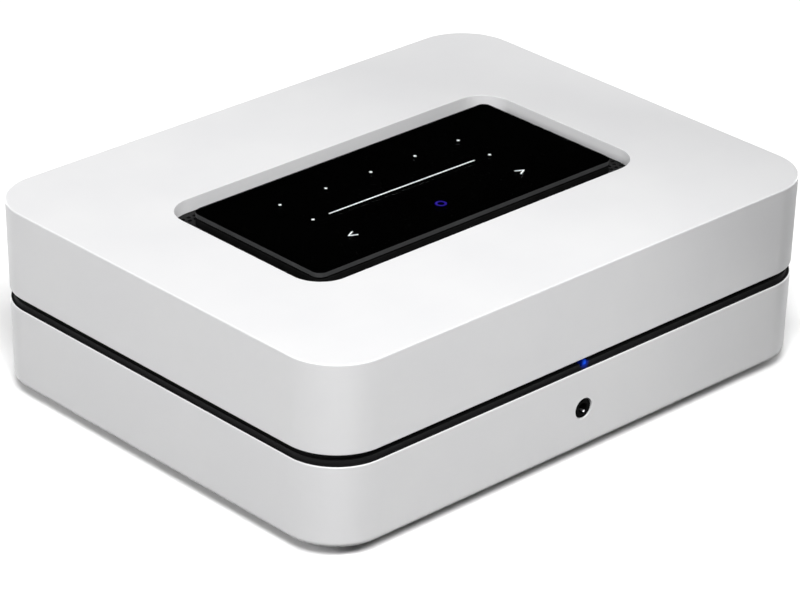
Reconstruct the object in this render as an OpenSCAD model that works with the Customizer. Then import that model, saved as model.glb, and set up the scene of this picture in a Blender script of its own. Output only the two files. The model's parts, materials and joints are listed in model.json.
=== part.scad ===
// Network music streamer: a two-part white case with a touch glass in the top, standing on four feet.
// Millimetres, +Z up, front facing -Y. Origin: centre of the whole outline on the standing surface.

/* [Body] */
// Width across the top of the case
body_w = 220; // [205:1:260]
// Depth across the top of the case
body_d = 171; // [166:1:210]
// Corner radius of the top outline
corner_r = 20; // [16:0.5:24]
// Inward lean of the sides towards the bottom, in degrees
side_draft = 1.1; // [0.2:0.1:1.6]
// Height of the upper shell
upper_h = 31.7; // [29:0.1:40]
// Height of the lower shell
lower_h = 28.4; // [28:0.1:36]
// Least wall of the shells, at the bottom edge
shell_wall = 2.4; // [2:0.1:3]
// Thickness of the top plate
top_wall = 3; // [2.4:0.1:4]
// Round on the top edge
top_edge_r = 0.8; // [0.3:0.1:1.5]
// Round on the two edges beside the shadow gap
gap_edge_r = 1; // [0.5:0.1:1.5]
// Round on the bottom edge
base_edge_r = 2; // [1:0.1:2.6]

/* [Shadow gap] */
// Height of the gap between the shells
gap_h = 4.2; // [2.8:0.1:5]
// How far the dark band stands back from the sides
band_inset = 1.3; // [0.8:0.1:1.6]
// Height of the band's lips inside each shell
lip_h = 3; // [2:0.1:4]
// Thickness of the lips
lip_t = 1.6; // [1.2:0.1:2]
// Room between the lips and the shell walls
lip_clear = 0.15; // [0.1:0.01:0.3]
// Height of the band's front face, above which it steps back
band_face_h = 2.2; // [1.5:0.1:2.7]
// Setback of the band above its front face
band_step = 1.2; // [0.8:0.1:1.4]
// Width of the status light
light_w = 3; // [2:0.1:6]
// Height of the status light
light_h = 1.8; // [1:0.1:2.4]
// Height of the status light's centre above the lower shell
light_rise = 2.1; // [1.4:0.1:2.7]
// Room round the status light
light_clear = 0.1; // [0.05:0.01:0.2]

/* [Top recess] */
// Width of the recess
recess_w = 146.6; // [130:0.1:160]
// Depth of the recess from front to back
recess_d = 76.3; // [66:0.1:90]
// Corner radius of the recess
recess_r = 11.2; // [8:0.1:14]
// Height of the glass carrier above the vent
carrier_h = 2.3; // [2.2:0.1:4]
// Wall round the recess under the top plate
recess_wall = 2; // [1.6:0.1:3]
// Space between the glass and the recess wall
glass_gap = 7.2; // [5:0.1:10]
// Thickness of the glass
glass_t = 2.2; // [1.5:0.1:2.6]
// Corner radius of the glass
glass_r = 2.2; // [2:0.1:8]
// Bevel on the glass's top edge
glass_bevel = 0.5; // [0.2:0.1:1]
// Thickness of the touch sensor under the glass
sensor_t = 0.6; // [0.5:0.1:1]
// How far the sensor stands back under the glass edge
sensor_inset = 1.5; // [1:0.1:2.5]
// Wall and top of the carrier under the sensor
carrier_wall = 1.2; // [1:0.1:1.4]
// Thickness of the touch board
touch_board_t = 0.8; // [0.6:0.1:1.2]
// Thickness of the vent mesh
mesh_t = 0.8; // [0.5:0.1:1.2]
// Diameter of the vent holes
mesh_hole = 1.5; // [1:0.1:1.7]
// Distance between neighbouring vent holes
mesh_pitch = 2.4; // [2.3:0.1:4]
// Room for the mesh's screws on each side of the recess
mesh_rim = 9; // [8:0.1:12]

/* [Base and feet] */
// Height of the lower shell above the standing surface
foot_h = 4; // [3:0.1:8]
// Radius of a foot at its top
foot_r = 9; // [7:0.1:12]
// Slope of a foot's side, as the loss of radius at its bottom
foot_taper = 0.8; // [0.2:0.1:1.5]
// Distance of the feet from the inner walls
foot_in = 24; // [21:0.5:34]
// Thickness of the base plate
base_t = 1.5; // [1:0.1:2]
// How far the base plate lies above the bottom edge
base_rise = 0.5; // [0:0.1:1]
// Room round the base plate
base_clear = 0.4; // [0.2:0.1:0.8]
// How far the plate's seat lies inside the inner walls
base_seat = 1; // [0.8:0.1:1.5]
// Thickness of the flange above the base plate
flange_t = 2.5; // [2:0.1:3]
// Width of that flange
flange_w = 7; // [6.5:0.1:8]
// Width of the vent slots in the base plate
slot_w = 3; // [2:0.1:4]
// Length of the vent slots
slot_l = 34; // [16:1:40]
// Distance between the vent slots
slot_pitch = 8; // [6:0.5:12]

/* [Front socket] */
// Height of the headphone socket above the bottom edge
jack_rise = 14.5; // [13.6:0.1:15]
// Radius of the hole for the headphone socket
jack_hole_r = 3.6; // [3.5:0.05:4]
// Radius of a 3.5 mm socket's bore
jack_bore_r = 1.8; // [1.76:0.01:1.85]
// Depth of a 3.5 mm socket's bore
jack_bore_l = 14; // [13:0.1:14.5]
// Room between a socket and its hole
socket_clear = 0.2; // [0.1:0.05:0.4]
// How far the headphone socket lies behind the front
jack_sink = 0.4; // [0.2:0.1:0.8]

/* [Rear panel] */
// Width of the opening in the back
rear_open_w = 172; // [168:0.5:176]
// Height of the case left below the opening
rear_sill = 6.5; // [6:0.1:7.5]
// Height of the case left above the opening
rear_head = 10; // [8.5:0.1:12]
// How far the panel reaches behind the case round the opening
panel_lap = 3; // [2:0.1:3.5]
// Thickness of the panel
panel_t = 2; // [1.5:0.1:2.5]
// How far the sockets stand out of the panel
socket_proud = 0.5; // [0.2:0.1:1]
// Place of the mains inlet across the panel
inlet_x = 66; // [60:0.5:70]
// Place of the network socket
lan_x = -2; // [-3:0.5:0]
// Place of the USB socket
usb_x = -20; // [-21:0.5:-19]
// Place of the HDMI socket
hdmi_x = -37.5; // [-38:0.5:-37]
// Place of the line input
line_in_x = -53.5; // [-54:0.5:-53]
// Place of the remote eye input
ir_in_x = -66; // [-66.5:0.5:-65.5]
// Place of the subwoofer output
sub_out_x = -78.5; // [-79.5:0.5:-78]

/* [Terminals] */
// Place of the first speaker terminal
terminal_x = 4; // [0:0.5:4]
// Distance between the terminals
terminal_pitch = 19; // [16:0.05:19.5]
// Distance of the terminals below the top of the opening
terminal_drop = 13; // [11:0.1:15]
// Radius of the terminal's stud
stud_r = 3; // [2.8:0.05:3.4]
// Radius of the 4 mm plug's bore in the stud
plug_r = 2; // [1.98:0.01:2.1]
// Depth of that bore
plug_l = 14; // [10:0.1:14.5]
// Radius of the hole for a bare wire
wire_r = 1.2; // [0.8:0.1:1.4]
// Radius of the insulating collar
collar_r = 7; // [6.5:0.1:7.4]
// Height of the collar
collar_h = 4; // [3:0.1:6]
// Radius of the clamp washer
washer_r = 5.6; // [5:0.1:6]
// Thickness of the clamp washer
washer_t = 1.2; // [0.8:0.1:2]
// Radius of the cap
cap_r = 6.5; // [6:0.1:7]
// Length of the cap
cap_l = 17.6; // [16:0.1:20]
// Running clearance on the stud
thread_clear = 0.1; // [0.05:0.01:0.1]
// Gap under the washer and under the cap
clamp_gap = 0.2; // [0.1:0.05:0.3]
// How far the stud ends inside the cap
stud_sink = 2; // [1.5:0.1:3]
// Number of grip flutes on a cap
flutes = 18; // [12:1:24]

/* [Boards] */
// Thickness of the circuit boards
board_t = 1.6; // [1:0.1:2]
// Depth of the main board from front to back
main_d = 62; // [60:0.5:64]
// Depth of the amplifier board
amp_d = 62; // [60:0.5:63]
// Line between the signal side and the power side
split_x = 15; // [14:0.5:18]
// Space between neighbouring boards
board_gap = 4; // [3:0.1:5]
// Radius of the board screws
screw_r = 1.5; // [1.2:0.05:1.6]
// Height of the heat sink's fins
fin_h = 26; // [16:0.5:28]
// Thickness of a fin
fin_t = 1.6; // [1:0.1:2]
// Number of fins
fins = 10; // [6:1:13]

/* [Hidden] */
$fn = 64;
// Reach of a cut past the face that it opens
over = 1;

// Heights of the case
base_z = foot_h;
lower_top = base_z + lower_h;
upper_bottom = lower_top + gap_h;
top_z = upper_bottom + upper_h;
plate_z = base_z + base_rise;
flange_z = plate_z + base_t;
flange_top = flange_z + flange_t;

// The sides lean, the inner walls stand upright
function lean(z) = (top_z - z) * tan(side_draft);
function corner_at(z) = corner_r - lean(z);
wall_in = lean(base_z) + shell_wall;
cav_w = body_w - 2 * wall_in;
cav_d = body_d - 2 * wall_in;
cav_r = corner_r - wall_in;

// Places from front to back
panel_out = body_d / 2 - wall_in;
stack_l = collar_h + clamp_gap + washer_t + clamp_gap + cap_l;
rear_reach = stack_l - wall_in;
mid_y = -rear_reach / 2;
front_y = mid_y - body_d / 2;
inner_front = front_y + wall_in;
panel_y = mid_y + panel_out;
panel_in = panel_y - panel_t;

// Screw bosses in the corners
boss_r = 4;
boss_room = 0.3;
boss_out = (cav_r - lip_clear - lip_t - boss_room - boss_r) / sqrt(2);
boss_x = body_w / 2 - corner_r + boss_out;
boss_y = body_d / 2 - corner_r + boss_out;
boss_grip = 14;
case_screw_l = upper_bottom + boss_grip;

// Top recess
glass_w = recess_w - 2 * glass_gap;
glass_d = recess_d - 2 * glass_gap;
sensor_z = top_z - glass_t - sensor_t;
carrier_top = sensor_z;
vent_z = carrier_top - carrier_h;
mesh_hole_edge = mesh_hole / 2 + 0.2;
vent_screw_r = 1.25;
vent_screw_l = 2;
mesh_boss_x = recess_w / 2 + mesh_rim / 2;
mesh_boss_y = recess_d / 4;
carrier_post_in = 9;
carrier_post_x = glass_w / 2 - carrier_post_in;
carrier_post_y = glass_d / 2 - carrier_post_in;
screw_fit = 0.1;

// Boards stand on one level, set by the headphone socket
jack_z = base_z + jack_rise;
jack_half = 4.5;
jack_w = 11;
jack_body_l = 12;
board_top = jack_z - jack_half;
board_z = board_top - board_t;
stand_r = 3;
stand_in = 4;
// The rear row of stands lies in front of the phono socket's body
barrel_in = 8;
sub_back = 4;
rear_stand_in = barrel_in + sub_back + stand_r + socket_clear;
board_side = boss_x - boss_r - boss_room;
signal_x0 = -board_side;
signal_x1 = split_x - board_gap / 2;
power_x0 = split_x + board_gap / 2;
power_x1 = board_side;
main_y1 = panel_in - socket_clear;
main_y0 = main_y1 - main_d;
phone_w = 34;
phone_d = 22;
phone_y0 = inner_front + socket_clear;
// The amplifier board ends behind the headphone board
amp_y1 = main_y0 - board_gap;
amp_y0 = max(amp_y1 - amp_d, phone_y0 + phone_d + board_gap);
// The power board ends in front of the mains inlet
inlet_body_l = 16;
power_y1 = panel_in - inlet_body_l - board_gap;
power_y0 = amp_y0;
function corners(x0, x1, y0, y1) = [for (x = [x0, x1], y = [y0, y1]) [x, y]];
main_holes = corners(signal_x0 + stand_in, signal_x1 - stand_in,
                     main_y0 + stand_in, panel_in - rear_stand_in);
amp_holes = corners(signal_x0 + stand_in, signal_x1 - stand_in, amp_y0 + stand_in, amp_y1 - stand_in);
power_holes = corners(power_x0 + stand_in, power_x1 - stand_in, power_y0 + stand_in, power_y1 - stand_in);
phone_holes = [for (s = [-1, 1]) [s * (phone_w / 2 - stand_in), phone_y0 + phone_d - stand_in]];
stands = concat(main_holes, amp_holes, power_holes, phone_holes);
foot_x = cav_w / 2 - foot_in;
foot_y = cav_d / 2 - foot_in;

// Rear opening and panel
open_z0 = base_z + rear_sill;
open_z1 = top_z - rear_head;
panel_w = rear_open_w + 2 * panel_lap;
panel_z1 = open_z1 + panel_lap;
panel_foot_d = flange_w - base_clear;
panel_foot_t = 1.5;
panel_screw_x = [-70, 0, 70];
panel_screw_y = panel_in - panel_foot_d / 2;

// Sockets: width, height and length of each body
lan_w = 16;
lan_h = 13.5;
lan_l = 21;
usb_w = 13.2;
usb_h = 5.9;
usb_l = 14;
hdmi_w = 15.2;
hdmi_h = 6;
hdmi_l = 12;
metal_t = 0.5;
tongue_l = 9;
sub_h = 8;
sub_body = 11;
barrel_r = 4.15;
barrel_wall = 0.6;
barrel_l = 9;
barrel_tail_r = barrel_r - 0.15;
sub_neck_r = barrel_r + 0.8;
sub_flange_t = 1.2;
fit_clear = 0.05;
inlet_w = 22;
inlet_h = 13;
inlet_flange = 2;
inlet_flange_t = 1.5;
inlet_rise = 12;
inlet_z = base_z + rear_sill + inlet_rise;
pin_pitch = 8.6;
pin_r = 1.2;
pin_l = 9;
inlet_cav_r = 4;
inlet_waist = 6.4;
inlet_cav_l = 11;

// Terminals: channel and polarity, counted from the first
TERMINALS = ["right_plus", "right_minus", "left_plus", "left_minus"];
terminal_z = open_z1 - terminal_drop;
collar_top = panel_y + collar_h;
washer_y = collar_top + clamp_gap;
cap_y = washer_y + washer_t + clamp_gap;
cap_end = cap_y + cap_l;
stud_end = cap_end - stud_sink;
neck_r = stud_r + 1.6;
neck_l = 2;
nut_r = 5.5;
nut_t = 3.2;
stud_tail = 5;
stud_in = panel_in - neck_l - nut_t - stud_tail;
cap_hole_r = plug_r + 0.6;
cap_chamfer = 0.8;
flute_r = 0.7;
flute_plain = 3;
lead_r = 1.3;
lead_bend = 8;
function terminal_at(k) = terminal_x - k * terminal_pitch;

// Outline of a rectangle with round corners
module rounded_rect(w, d, r) {
    square([w - 2 * r, d], center = true);
    square([w, d - 2 * r], center = true);
    for (x = [-1, 1], y = [-1, 1])
        translate([x * (w / 2 - r), y * (d / 2 - r)])
            circle(r);
}

// Upright block on the body's centre line
module upright(w, d, r, z0, z1) {
    translate([0, mid_y, z0])
        linear_extrude(z1 - z0)
            rounded_rect(w, d, r);
}

// Carries a wall section, drawn from the corner axis outwards, round a rectangle
module rounded_ring(w, d, r) {
    sx = w / 2 - r;
    sy = d / 2 - r;
    for (q = [0 : 3])
        translate([(q == 0 || q == 3 ? 1 : -1) * sx, (q < 2 ? 1 : -1) * sy, 0])
            rotate(90 * q)
                rotate_extrude(angle = 90)
                    children();
    for (a = [0, 180]) {
        rotate(a)
            translate([sx, 0, 0])
                rotate([90, 0, 0])
                    linear_extrude(2 * sy, center = true)
                        children();
        rotate(a + 90)
            translate([sy, 0, 0])
                rotate([90, 0, 0])
                    linear_extrude(2 * sx, center = true)
                        children();
    }
}

// Solid slab on the body's centre line, with a wall section carried round it
module rounded_slab(w, d, r, z0, z1) {
    translate([0, mid_y, 0]) {
        rounded_ring(w, d, r)
            children();
        translate([r - w / 2, r - d / 2, z0])
            cube([w - 2 * r, d - 2 * r, z1 - z0]);
    }
}

// Section of a solid shell with its leaning side and both edges rounded
module leaning_section(z0, z1, low_r, high_r) {
    c = cos(side_draft);
    s = sin(side_draft);
    low_x = corner_at(z0 + low_r) - low_r / c;
    high_x = corner_at(z1 - high_r) - high_r / c;
    polygon([
        [0, z0], [low_x, z0], [low_x + low_r * c, z0 + low_r - low_r * s],
        [high_x + high_r * c, z1 - high_r - high_r * s], [high_x, z1], [0, z1]
    ]);
    translate([low_x, z0 + low_r])
        circle(low_r);
    translate([high_x, z1 - high_r])
        circle(high_r);
}

// Solid block of the case between two heights
module case_block(z0, z1, low_r, high_r) {
    rounded_slab(body_w, body_d, corner_r, z0, z1)
        leaning_section(z0, z1, low_r, high_r);
}

// Repeats a piece at the four corners of a rectangle on the body's centre line
module at_corners(x, y) {
    for (i = [-1, 1], j = [-1, 1])
        translate([i * x, mid_y + j * y, 0])
            children();
}

// Upright round piece between two heights
module post(r, z0, z1) {
    translate([0, 0, z0])
        cylinder(r = r, h = z1 - z0);
}

// Round piece along Y
module along_y(r, y0, y1) {
    translate([0, y0, 0])
        rotate([-90, 0, 0])
            cylinder(r = r, h = y1 - y0);
}

// Outline in X and Z carried along Y
module profile_y(y0, y1) {
    translate([0, y1, 0])
        rotate([90, 0, 0])
            linear_extrude(y1 - y0)
                children();
}

// Box from two corners
module box(low, high) {
    translate(low)
        cube(high - low);
}

// Opening through the back of both shells
module rear_opening() {
    box([-rear_open_w / 2, panel_y - over, open_z0], [rear_open_w / 2, mid_y + body_d, open_z1]);
}

module upper_shell() {
    color("white")
        difference() {
            union() {
                difference() {
                    case_block(upper_bottom, top_z, gap_edge_r, top_edge_r);
                    upright(cav_w, cav_d, cav_r, upper_bottom - over, top_z - top_wall);
                }
                upright(recess_w + 2 * recess_wall, recess_d + 2 * recess_wall, recess_r + recess_wall,
                        vent_z, top_z - top_wall);
                at_corners(mesh_boss_x, mesh_boss_y)
                    post(stand_r, vent_z, top_z - top_wall);
                at_corners(boss_x, boss_y)
                    post(boss_r, lower_top, top_z - top_wall);
            }
            upright(recess_w, recess_d, recess_r, vent_z - over, top_z + over);
            rear_opening();
            at_corners(mesh_boss_x, mesh_boss_y)
                post(vent_screw_r + screw_fit, vent_z - over, vent_z + vent_screw_l + over);
            at_corners(boss_x, boss_y)
                post(screw_r + screw_fit, lower_top - over, case_screw_l + over);
        }
}

module lower_shell() {
    color("white")
        difference() {
            union() {
                difference() {
                    case_block(base_z, lower_top, base_edge_r, gap_edge_r);
                    upright(cav_w, cav_d, cav_r, flange_top, lower_top + over);
                    upright(cav_w - 2 * flange_w, cav_d - 2 * flange_w, cav_r - flange_w,
                            base_z - over, lower_top);
                }
                at_corners(boss_x, boss_y)
                    post(boss_r, flange_z, lower_top);
            }
            upright(cav_w - 2 * base_seat, cav_d - 2 * base_seat, cav_r - base_seat, base_z - over, flange_z);
            rear_opening();
            at_corners(boss_x, boss_y)
                post(screw_r + screw_fit, flange_z - over, lower_top + over);
            translate([0, 0, jack_z])
                along_y(jack_hole_r, front_y - over, inner_front + over);
            for (x = panel_screw_x)
                translate([x, panel_screw_y, 0])
                    post(screw_r + screw_fit, flange_z - over, flange_top + over);
        }
}

// Section of the dark band: its stepped face in the gap and the lips behind it
module band_section() {
    lip_r = cav_r - lip_clear;
    face_r = corner_at(band_z) - band_inset;
    polygon([
        [lip_r - lip_t, lower_top - lip_h], [lip_r, lower_top - lip_h],
        [lip_r, lower_top], [face_r, lower_top],
        [face_r, lower_top + band_face_h], [face_r - band_step, lower_top + band_face_h],
        [face_r - band_step, upper_bottom], [lip_r, upper_bottom],
        [lip_r, upper_bottom + lip_h], [lip_r - lip_t, upper_bottom + lip_h]
    ]);
}

light_z = lower_top + light_rise;
band_z = lower_top + gap_h / 2;
band_face = front_y + lean(band_z) + band_inset;
lip_back = inner_front + lip_clear + lip_t;

module mid_band() {
    reach = wall_in + lip_clear + lip_t;
    color("black")
        difference() {
            translate([0, mid_y, 0])
                rounded_ring(body_w, body_d, corner_r)
                    band_section();
            box([-panel_w / 2 - base_clear, panel_y - reach, base_z],
                [panel_w / 2 + base_clear, panel_y, top_z]);
            rear_opening();
            translate([0, 0, light_z])
                profile_y(front_y - over, lip_back + over)
                    rounded_rect(light_w + 2 * light_clear, light_h + 2 * light_clear, light_h / 4);
        }
}

module light_pipe() {
    color("royalblue")
        translate([0, 0, light_z])
            profile_y(band_face, lip_back)
                rounded_rect(light_w, light_h, light_h / 4);
}

led_board_w = 16;
led_board_t = 1.2;

module led_board() {
    color("darkgreen")
        box([-led_board_w / 2, lip_back, lower_top - lip_h],
            [led_board_w / 2, lip_back + led_board_t, upper_bottom + lip_h]);
}

// Slots under a board
module slot_row(x0, x1, y) {
    slots = floor((x1 - x0) / slot_pitch);
    for (k = [0 : slots])
        translate([(x0 + x1) / 2 + (k - slots / 2) * slot_pitch, y])
            rounded_rect(slot_w, slot_l, slot_w / 2 - 0.01);
}

module base_plate() {
    color("dimgray") {
        edge = 2 * (base_seat + base_clear);
        difference() {
            union() {
                upright(cav_w - edge, cav_d - edge, cav_r - edge / 2, plate_z, flange_z);
                for (p = stands)
                    translate(p)
                        post(stand_r, plate_z, board_z);
                at_corners(foot_x, foot_y)
                    post(stand_r, plate_z, flange_top);
            }
            for (p = stands)
                translate(p)
                    post(screw_r + screw_fit, flange_z, board_z + over);
            at_corners(foot_x, foot_y)
                post(screw_r + screw_fit, plate_z - over, flange_top + over);
            at_corners(boss_x, boss_y)
                post(screw_r + screw_fit, plate_z - over, flange_z + over);
            translate([0, 0, plate_z - over])
                linear_extrude(base_t + 2 * over) {
                    slot_row(signal_x0 + foot_in, signal_x1 - foot_in / 2, (amp_y0 + amp_y1) / 2);
                    slot_row(power_x0 + foot_in / 2, power_x1 - foot_in, (amp_y0 + amp_y1) / 2);
                }
        }
    }
}

// Recess under a foot for its screw
foot_cup_r = 4;
foot_cup_h = 2.6;
foot_round = 1;

module feet() {
    low_r = foot_r - foot_taper;
    color("black")
        at_corners(foot_x, foot_y)
            rotate_extrude() {
                polygon([
                    [screw_r + screw_fit, foot_cup_h], [foot_cup_r, foot_cup_h], [foot_cup_r, 0],
                    [low_r - foot_round, 0], [low_r, foot_round],
                    [foot_r, plate_z], [screw_r + screw_fit, plate_z]
                ]);
            }
}

// Pan head screw pointing up, its head's seat at height zero
module screw(r, l, head_r, head_h) {
    post(r, 0, l);
    post(head_r, -head_h, 0);
}

module foot_screws() {
    color("silver")
        at_corners(foot_x, foot_y)
            translate([0, 0, foot_cup_h])
                screw(screw_r, flange_top - foot_cup_h, 2 * screw_r, 1.8);
}

module case_screws() {
    color("silver")
        at_corners(boss_x, boss_y)
            translate([0, 0, plate_z])
                screw(screw_r, case_screw_l - plate_z, 2 * screw_r, 1.8);
}

module board_screws() {
    color("silver") {
        for (p = stands)
            translate([p[0], p[1], board_top])
                mirror([0, 0, 1])
                    screw(screw_r, board_t + 5, 2 * screw_r, 1.8);
        for (x = panel_screw_x)
            translate([x, panel_screw_y, flange_top + panel_foot_t])
                mirror([0, 0, 1])
                    screw(screw_r, panel_foot_t + flange_t, 2 * screw_r, 1.8);
    }
}

module touch_glass() {
    z0 = top_z - glass_t;
    color("black")
        rounded_slab(glass_w, glass_d, glass_r, z0, top_z)
            polygon([
                [0, z0], [glass_r, z0], [glass_r, top_z - glass_bevel],
                [glass_r - glass_bevel, top_z], [0, top_z]
            ]);
}

module touch_sensor() {
    color("dimgray")
        upright(glass_w - 2 * sensor_inset, glass_d - 2 * sensor_inset, glass_r - sensor_inset,
                sensor_z, sensor_z + sensor_t);
}

// The ribbon leaves the touch board at its rear edge and folds back to the main board
ribbon_x = terminal_at(1.5);
ribbon_w = 12;
ribbon_t = 0.3;
ribbon_room = 1;
ribbon_edge = 2.5;
ribbon_fold = 12;
ribbon_top_y = mid_y + glass_d / 2 - carrier_post_in - ribbon_edge;
ribbon_low_y = main_y0 + 2 * ribbon_edge;

module glass_carrier() {
    wall = 2 * carrier_wall;
    color("black")
        difference() {
            union() {
                difference() {
                    upright(glass_w, glass_d, glass_r, vent_z, carrier_top);
                    upright(glass_w - wall, glass_d - wall, glass_r - carrier_wall,
                            vent_z - over, carrier_top - carrier_wall);
                }
                at_corners(carrier_post_x, carrier_post_y)
                    post(stand_r, vent_z, carrier_top - carrier_wall);
            }
            at_corners(carrier_post_x, carrier_post_y)
                post(vent_screw_r + screw_fit, vent_z - over, vent_z + vent_screw_l);
        }
}

module touch_board() {
    z1 = carrier_top - carrier_wall;
    room = 2 * (carrier_post_in + 2 * stand_r);
    color("darkgreen")
        upright(glass_w - room, glass_d - 2 * carrier_post_in, 2, z1 - touch_board_t, z1);
}

module touch_ribbon() {
    h = ribbon_t / 2;
    s = ribbon_low_y < ribbon_top_y ? -h : h;
    z1 = carrier_top - carrier_wall - touch_board_t;
    fold_z = vent_z - mesh_t - ribbon_fold;
    color("orange")
        translate([ribbon_x, 0, 0])
            rotate([90, 0, 90])
                linear_extrude(ribbon_w, center = true)
                    polygon([
                        [ribbon_top_y - s, z1], [ribbon_top_y - s, fold_z - h],
                        [ribbon_low_y - s, fold_z - h], [ribbon_low_y - s, board_top],
                        [ribbon_low_y + s, board_top], [ribbon_low_y + s, fold_z + h],
                        [ribbon_top_y + s, fold_z + h], [ribbon_top_y + s, z1]
                    ]);
}

// Centres of the vent holes: rows in the ring between the glass and the recess wall
vent_rows = ceil(recess_d / (mesh_pitch * sqrt(3)));
vent_columns = ceil(recess_w / (2 * mesh_pitch)) + 1;
function in_vent(p) =
    let (x = abs(p[0]), y = abs(p[1]))
    let (cx = max(0, x - recess_w / 2 + recess_r), cy = max(0, y - recess_d / 2 + recess_r))
    norm([cx, cy]) < recess_r - mesh_hole_edge
        && x < recess_w / 2 - mesh_hole_edge
        && y < recess_d / 2 - mesh_hole_edge
        && (x > glass_w / 2 + mesh_hole_edge || y > glass_d / 2 + mesh_hole_edge);
vent_points = [
    for (j = [-vent_rows : vent_rows], i = [-vent_columns : vent_columns])
        let (p = [(i + (j % 2 == 0 ? 0 : 0.5)) * mesh_pitch, j * mesh_pitch * sqrt(3) / 2])
        if (in_vent(p)) p
];

module vent_mesh() {
    color("black")
        translate([0, mid_y, vent_z - mesh_t])
            linear_extrude(mesh_t)
                difference() {
                    rounded_rect(recess_w + 2 * mesh_rim, recess_d + 2 * recess_wall, recess_r);
                    for (p = vent_points)
                        translate(p)
                            circle(mesh_hole / 2, $fn = 24);
                    for (i = [-1, 1], j = [-1, 1]) {
                        translate([i * mesh_boss_x, j * mesh_boss_y])
                            circle(vent_screw_r + screw_fit);
                        translate([i * carrier_post_x, j * carrier_post_y])
                            circle(vent_screw_r + screw_fit);
                    }
                    translate([ribbon_x, ribbon_top_y - mid_y])
                        square([ribbon_w + 2 * ribbon_room, ribbon_t + 2 * ribbon_room], center = true);
                }
}

module vent_screws() {
    color("silver") {
        at_corners(mesh_boss_x, mesh_boss_y)
            translate([0, 0, vent_z - mesh_t])
                screw(vent_screw_r, mesh_t + vent_screw_l, 2 * vent_screw_r, 1.4);
        at_corners(carrier_post_x, carrier_post_y)
            translate([0, 0, vent_z - mesh_t])
                screw(vent_screw_r, mesh_t + vent_screw_l - screw_fit, 2 * vent_screw_r, 1.4);
    }
}

// Socket for a 3.5 mm plug: wall face at the origin, its mouth pointing to +Y
module jack_socket(nose_r, nose_l) {
    difference() {
        union() {
            box([-jack_w / 2, -jack_body_l, -jack_half], [jack_w / 2, 0, jack_half]);
            along_y(nose_r, -over, nose_l);
        }
        along_y(jack_bore_r, nose_l - jack_bore_l, nose_l + over);
    }
}

jack_nose_l = wall_in - lean(jack_z) - jack_sink;

module headphone_socket() {
    color("dimgray")
        translate([0, inner_front, jack_z])
            rotate(180)
                jack_socket(jack_hole_r - socket_clear, jack_nose_l);
}

// Board with holes at its screws
module board(x0, x1, y0, y1, holes) {
    color("darkgreen")
        difference() {
            box([x0, y0, board_z], [x1, y1, board_top]);
            for (p = holes)
                translate(p)
                    post(screw_r + screw_fit, board_z - over, board_top + over);
        }
}

module headphone_board() {
    board(-phone_w / 2, phone_w / 2, phone_y0, phone_y0 + phone_d, phone_holes);
}

module main_board() {
    board(signal_x0, signal_x1, main_y0, main_y1, main_holes);
}

module amp_board() {
    board(signal_x0, signal_x1, amp_y0, amp_y1, amp_holes);
}

module power_board() {
    board(power_x0, power_x1, power_y0, power_y1, power_holes);
}

// Outline of an HDMI socket, its lower corners cut off
module hdmi_outline(w, h) {
    cut = h / 3;
    polygon([
        [-w / 2, h], [w / 2, h], [w / 2, h / 2], [w / 2 - cut, 0], [cut - w / 2, 0], [-w / 2, h / 2]
    ]);
}

module socket_cut(x, w, h) {
    box([x - w / 2 - socket_clear, panel_in - over, board_top - socket_clear],
        [x + w / 2 + socket_clear, panel_y + over, board_top + h + socket_clear]);
}

jack_nose_r = 3;

module rear_panel() {
    color("#1c1c1e")
        difference() {
            union() {
                box([-panel_w / 2, panel_in, flange_top], [panel_w / 2, panel_y, panel_z1]);
                box([-panel_w / 2, panel_in - panel_foot_d, flange_top],
                    [panel_w / 2, panel_in + over, flange_top + panel_foot_t]);
            }
            socket_cut(lan_x, lan_w, lan_h);
            socket_cut(usb_x, usb_w, usb_h);
            socket_cut(hdmi_x, hdmi_w, hdmi_h);
            for (x = [line_in_x, ir_in_x])
                translate([x, 0, jack_z])
                    along_y(jack_nose_r + socket_clear, panel_in - over, panel_y + over);
            translate([sub_out_x, 0, board_top + sub_h])
                along_y(sub_neck_r + fit_clear, panel_in - over, panel_y + over);
            box([inlet_x - inlet_w / 2 - socket_clear, panel_in - over, inlet_z - inlet_h / 2 - socket_clear],
                [inlet_x + inlet_w / 2 + socket_clear, panel_y + over, inlet_z + inlet_h / 2 + socket_clear]);
            for (k = [0 : len(TERMINALS) - 1])
                translate([terminal_at(k), 0, terminal_z])
                    along_y(neck_r + fit_clear, panel_in - over, panel_y + over);
            for (x = panel_screw_x)
                translate([x, panel_screw_y, 0])
                    post(screw_r + screw_fit, flange_top - over, flange_top + panel_foot_t + over);
        }
}

module mains_inlet() {
    back = panel_in - inlet_body_l;
    color("#202022")
        translate([inlet_x, 0, inlet_z])
            difference() {
                union() {
                    box([-inlet_w / 2, back, -inlet_h / 2], [inlet_w / 2, panel_y, inlet_h / 2]);
                    profile_y(panel_y, panel_y + inlet_flange_t)
                        rounded_rect(inlet_w + 2 * inlet_flange, inlet_h + 2 * inlet_flange, inlet_flange);
                }
                profile_y(panel_y + inlet_flange_t - inlet_cav_l, panel_y + 2 * inlet_flange_t) {
                    square([pin_pitch, inlet_waist], center = true);
                    for (s = [-1, 1])
                        translate([s * pin_pitch / 2, 0])
                            circle(inlet_cav_r);
                }
                for (s = [-1, 1])
                    translate([s * pin_pitch / 2, 0, 0])
                        along_y(pin_r + fit_clear, back - over, panel_y);
            }
}

module inlet_pins() {
    y1 = panel_y + inlet_flange_t - inlet_cav_l + pin_l;
    color("silver")
        for (s = [-1, 1])
            translate([inlet_x + s * pin_pitch / 2, 0, inlet_z])
                along_y(pin_r, panel_in - inlet_body_l - 3, y1);
}

lan_cav_w = 11.9;
lan_cav_h = 7;
lan_cav_l = 13;
lan_cav_z = 4.4;
lan_latch_w = 6.4;
lan_latch_h = 1.6;
lan_catch_w = 3.6;

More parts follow.
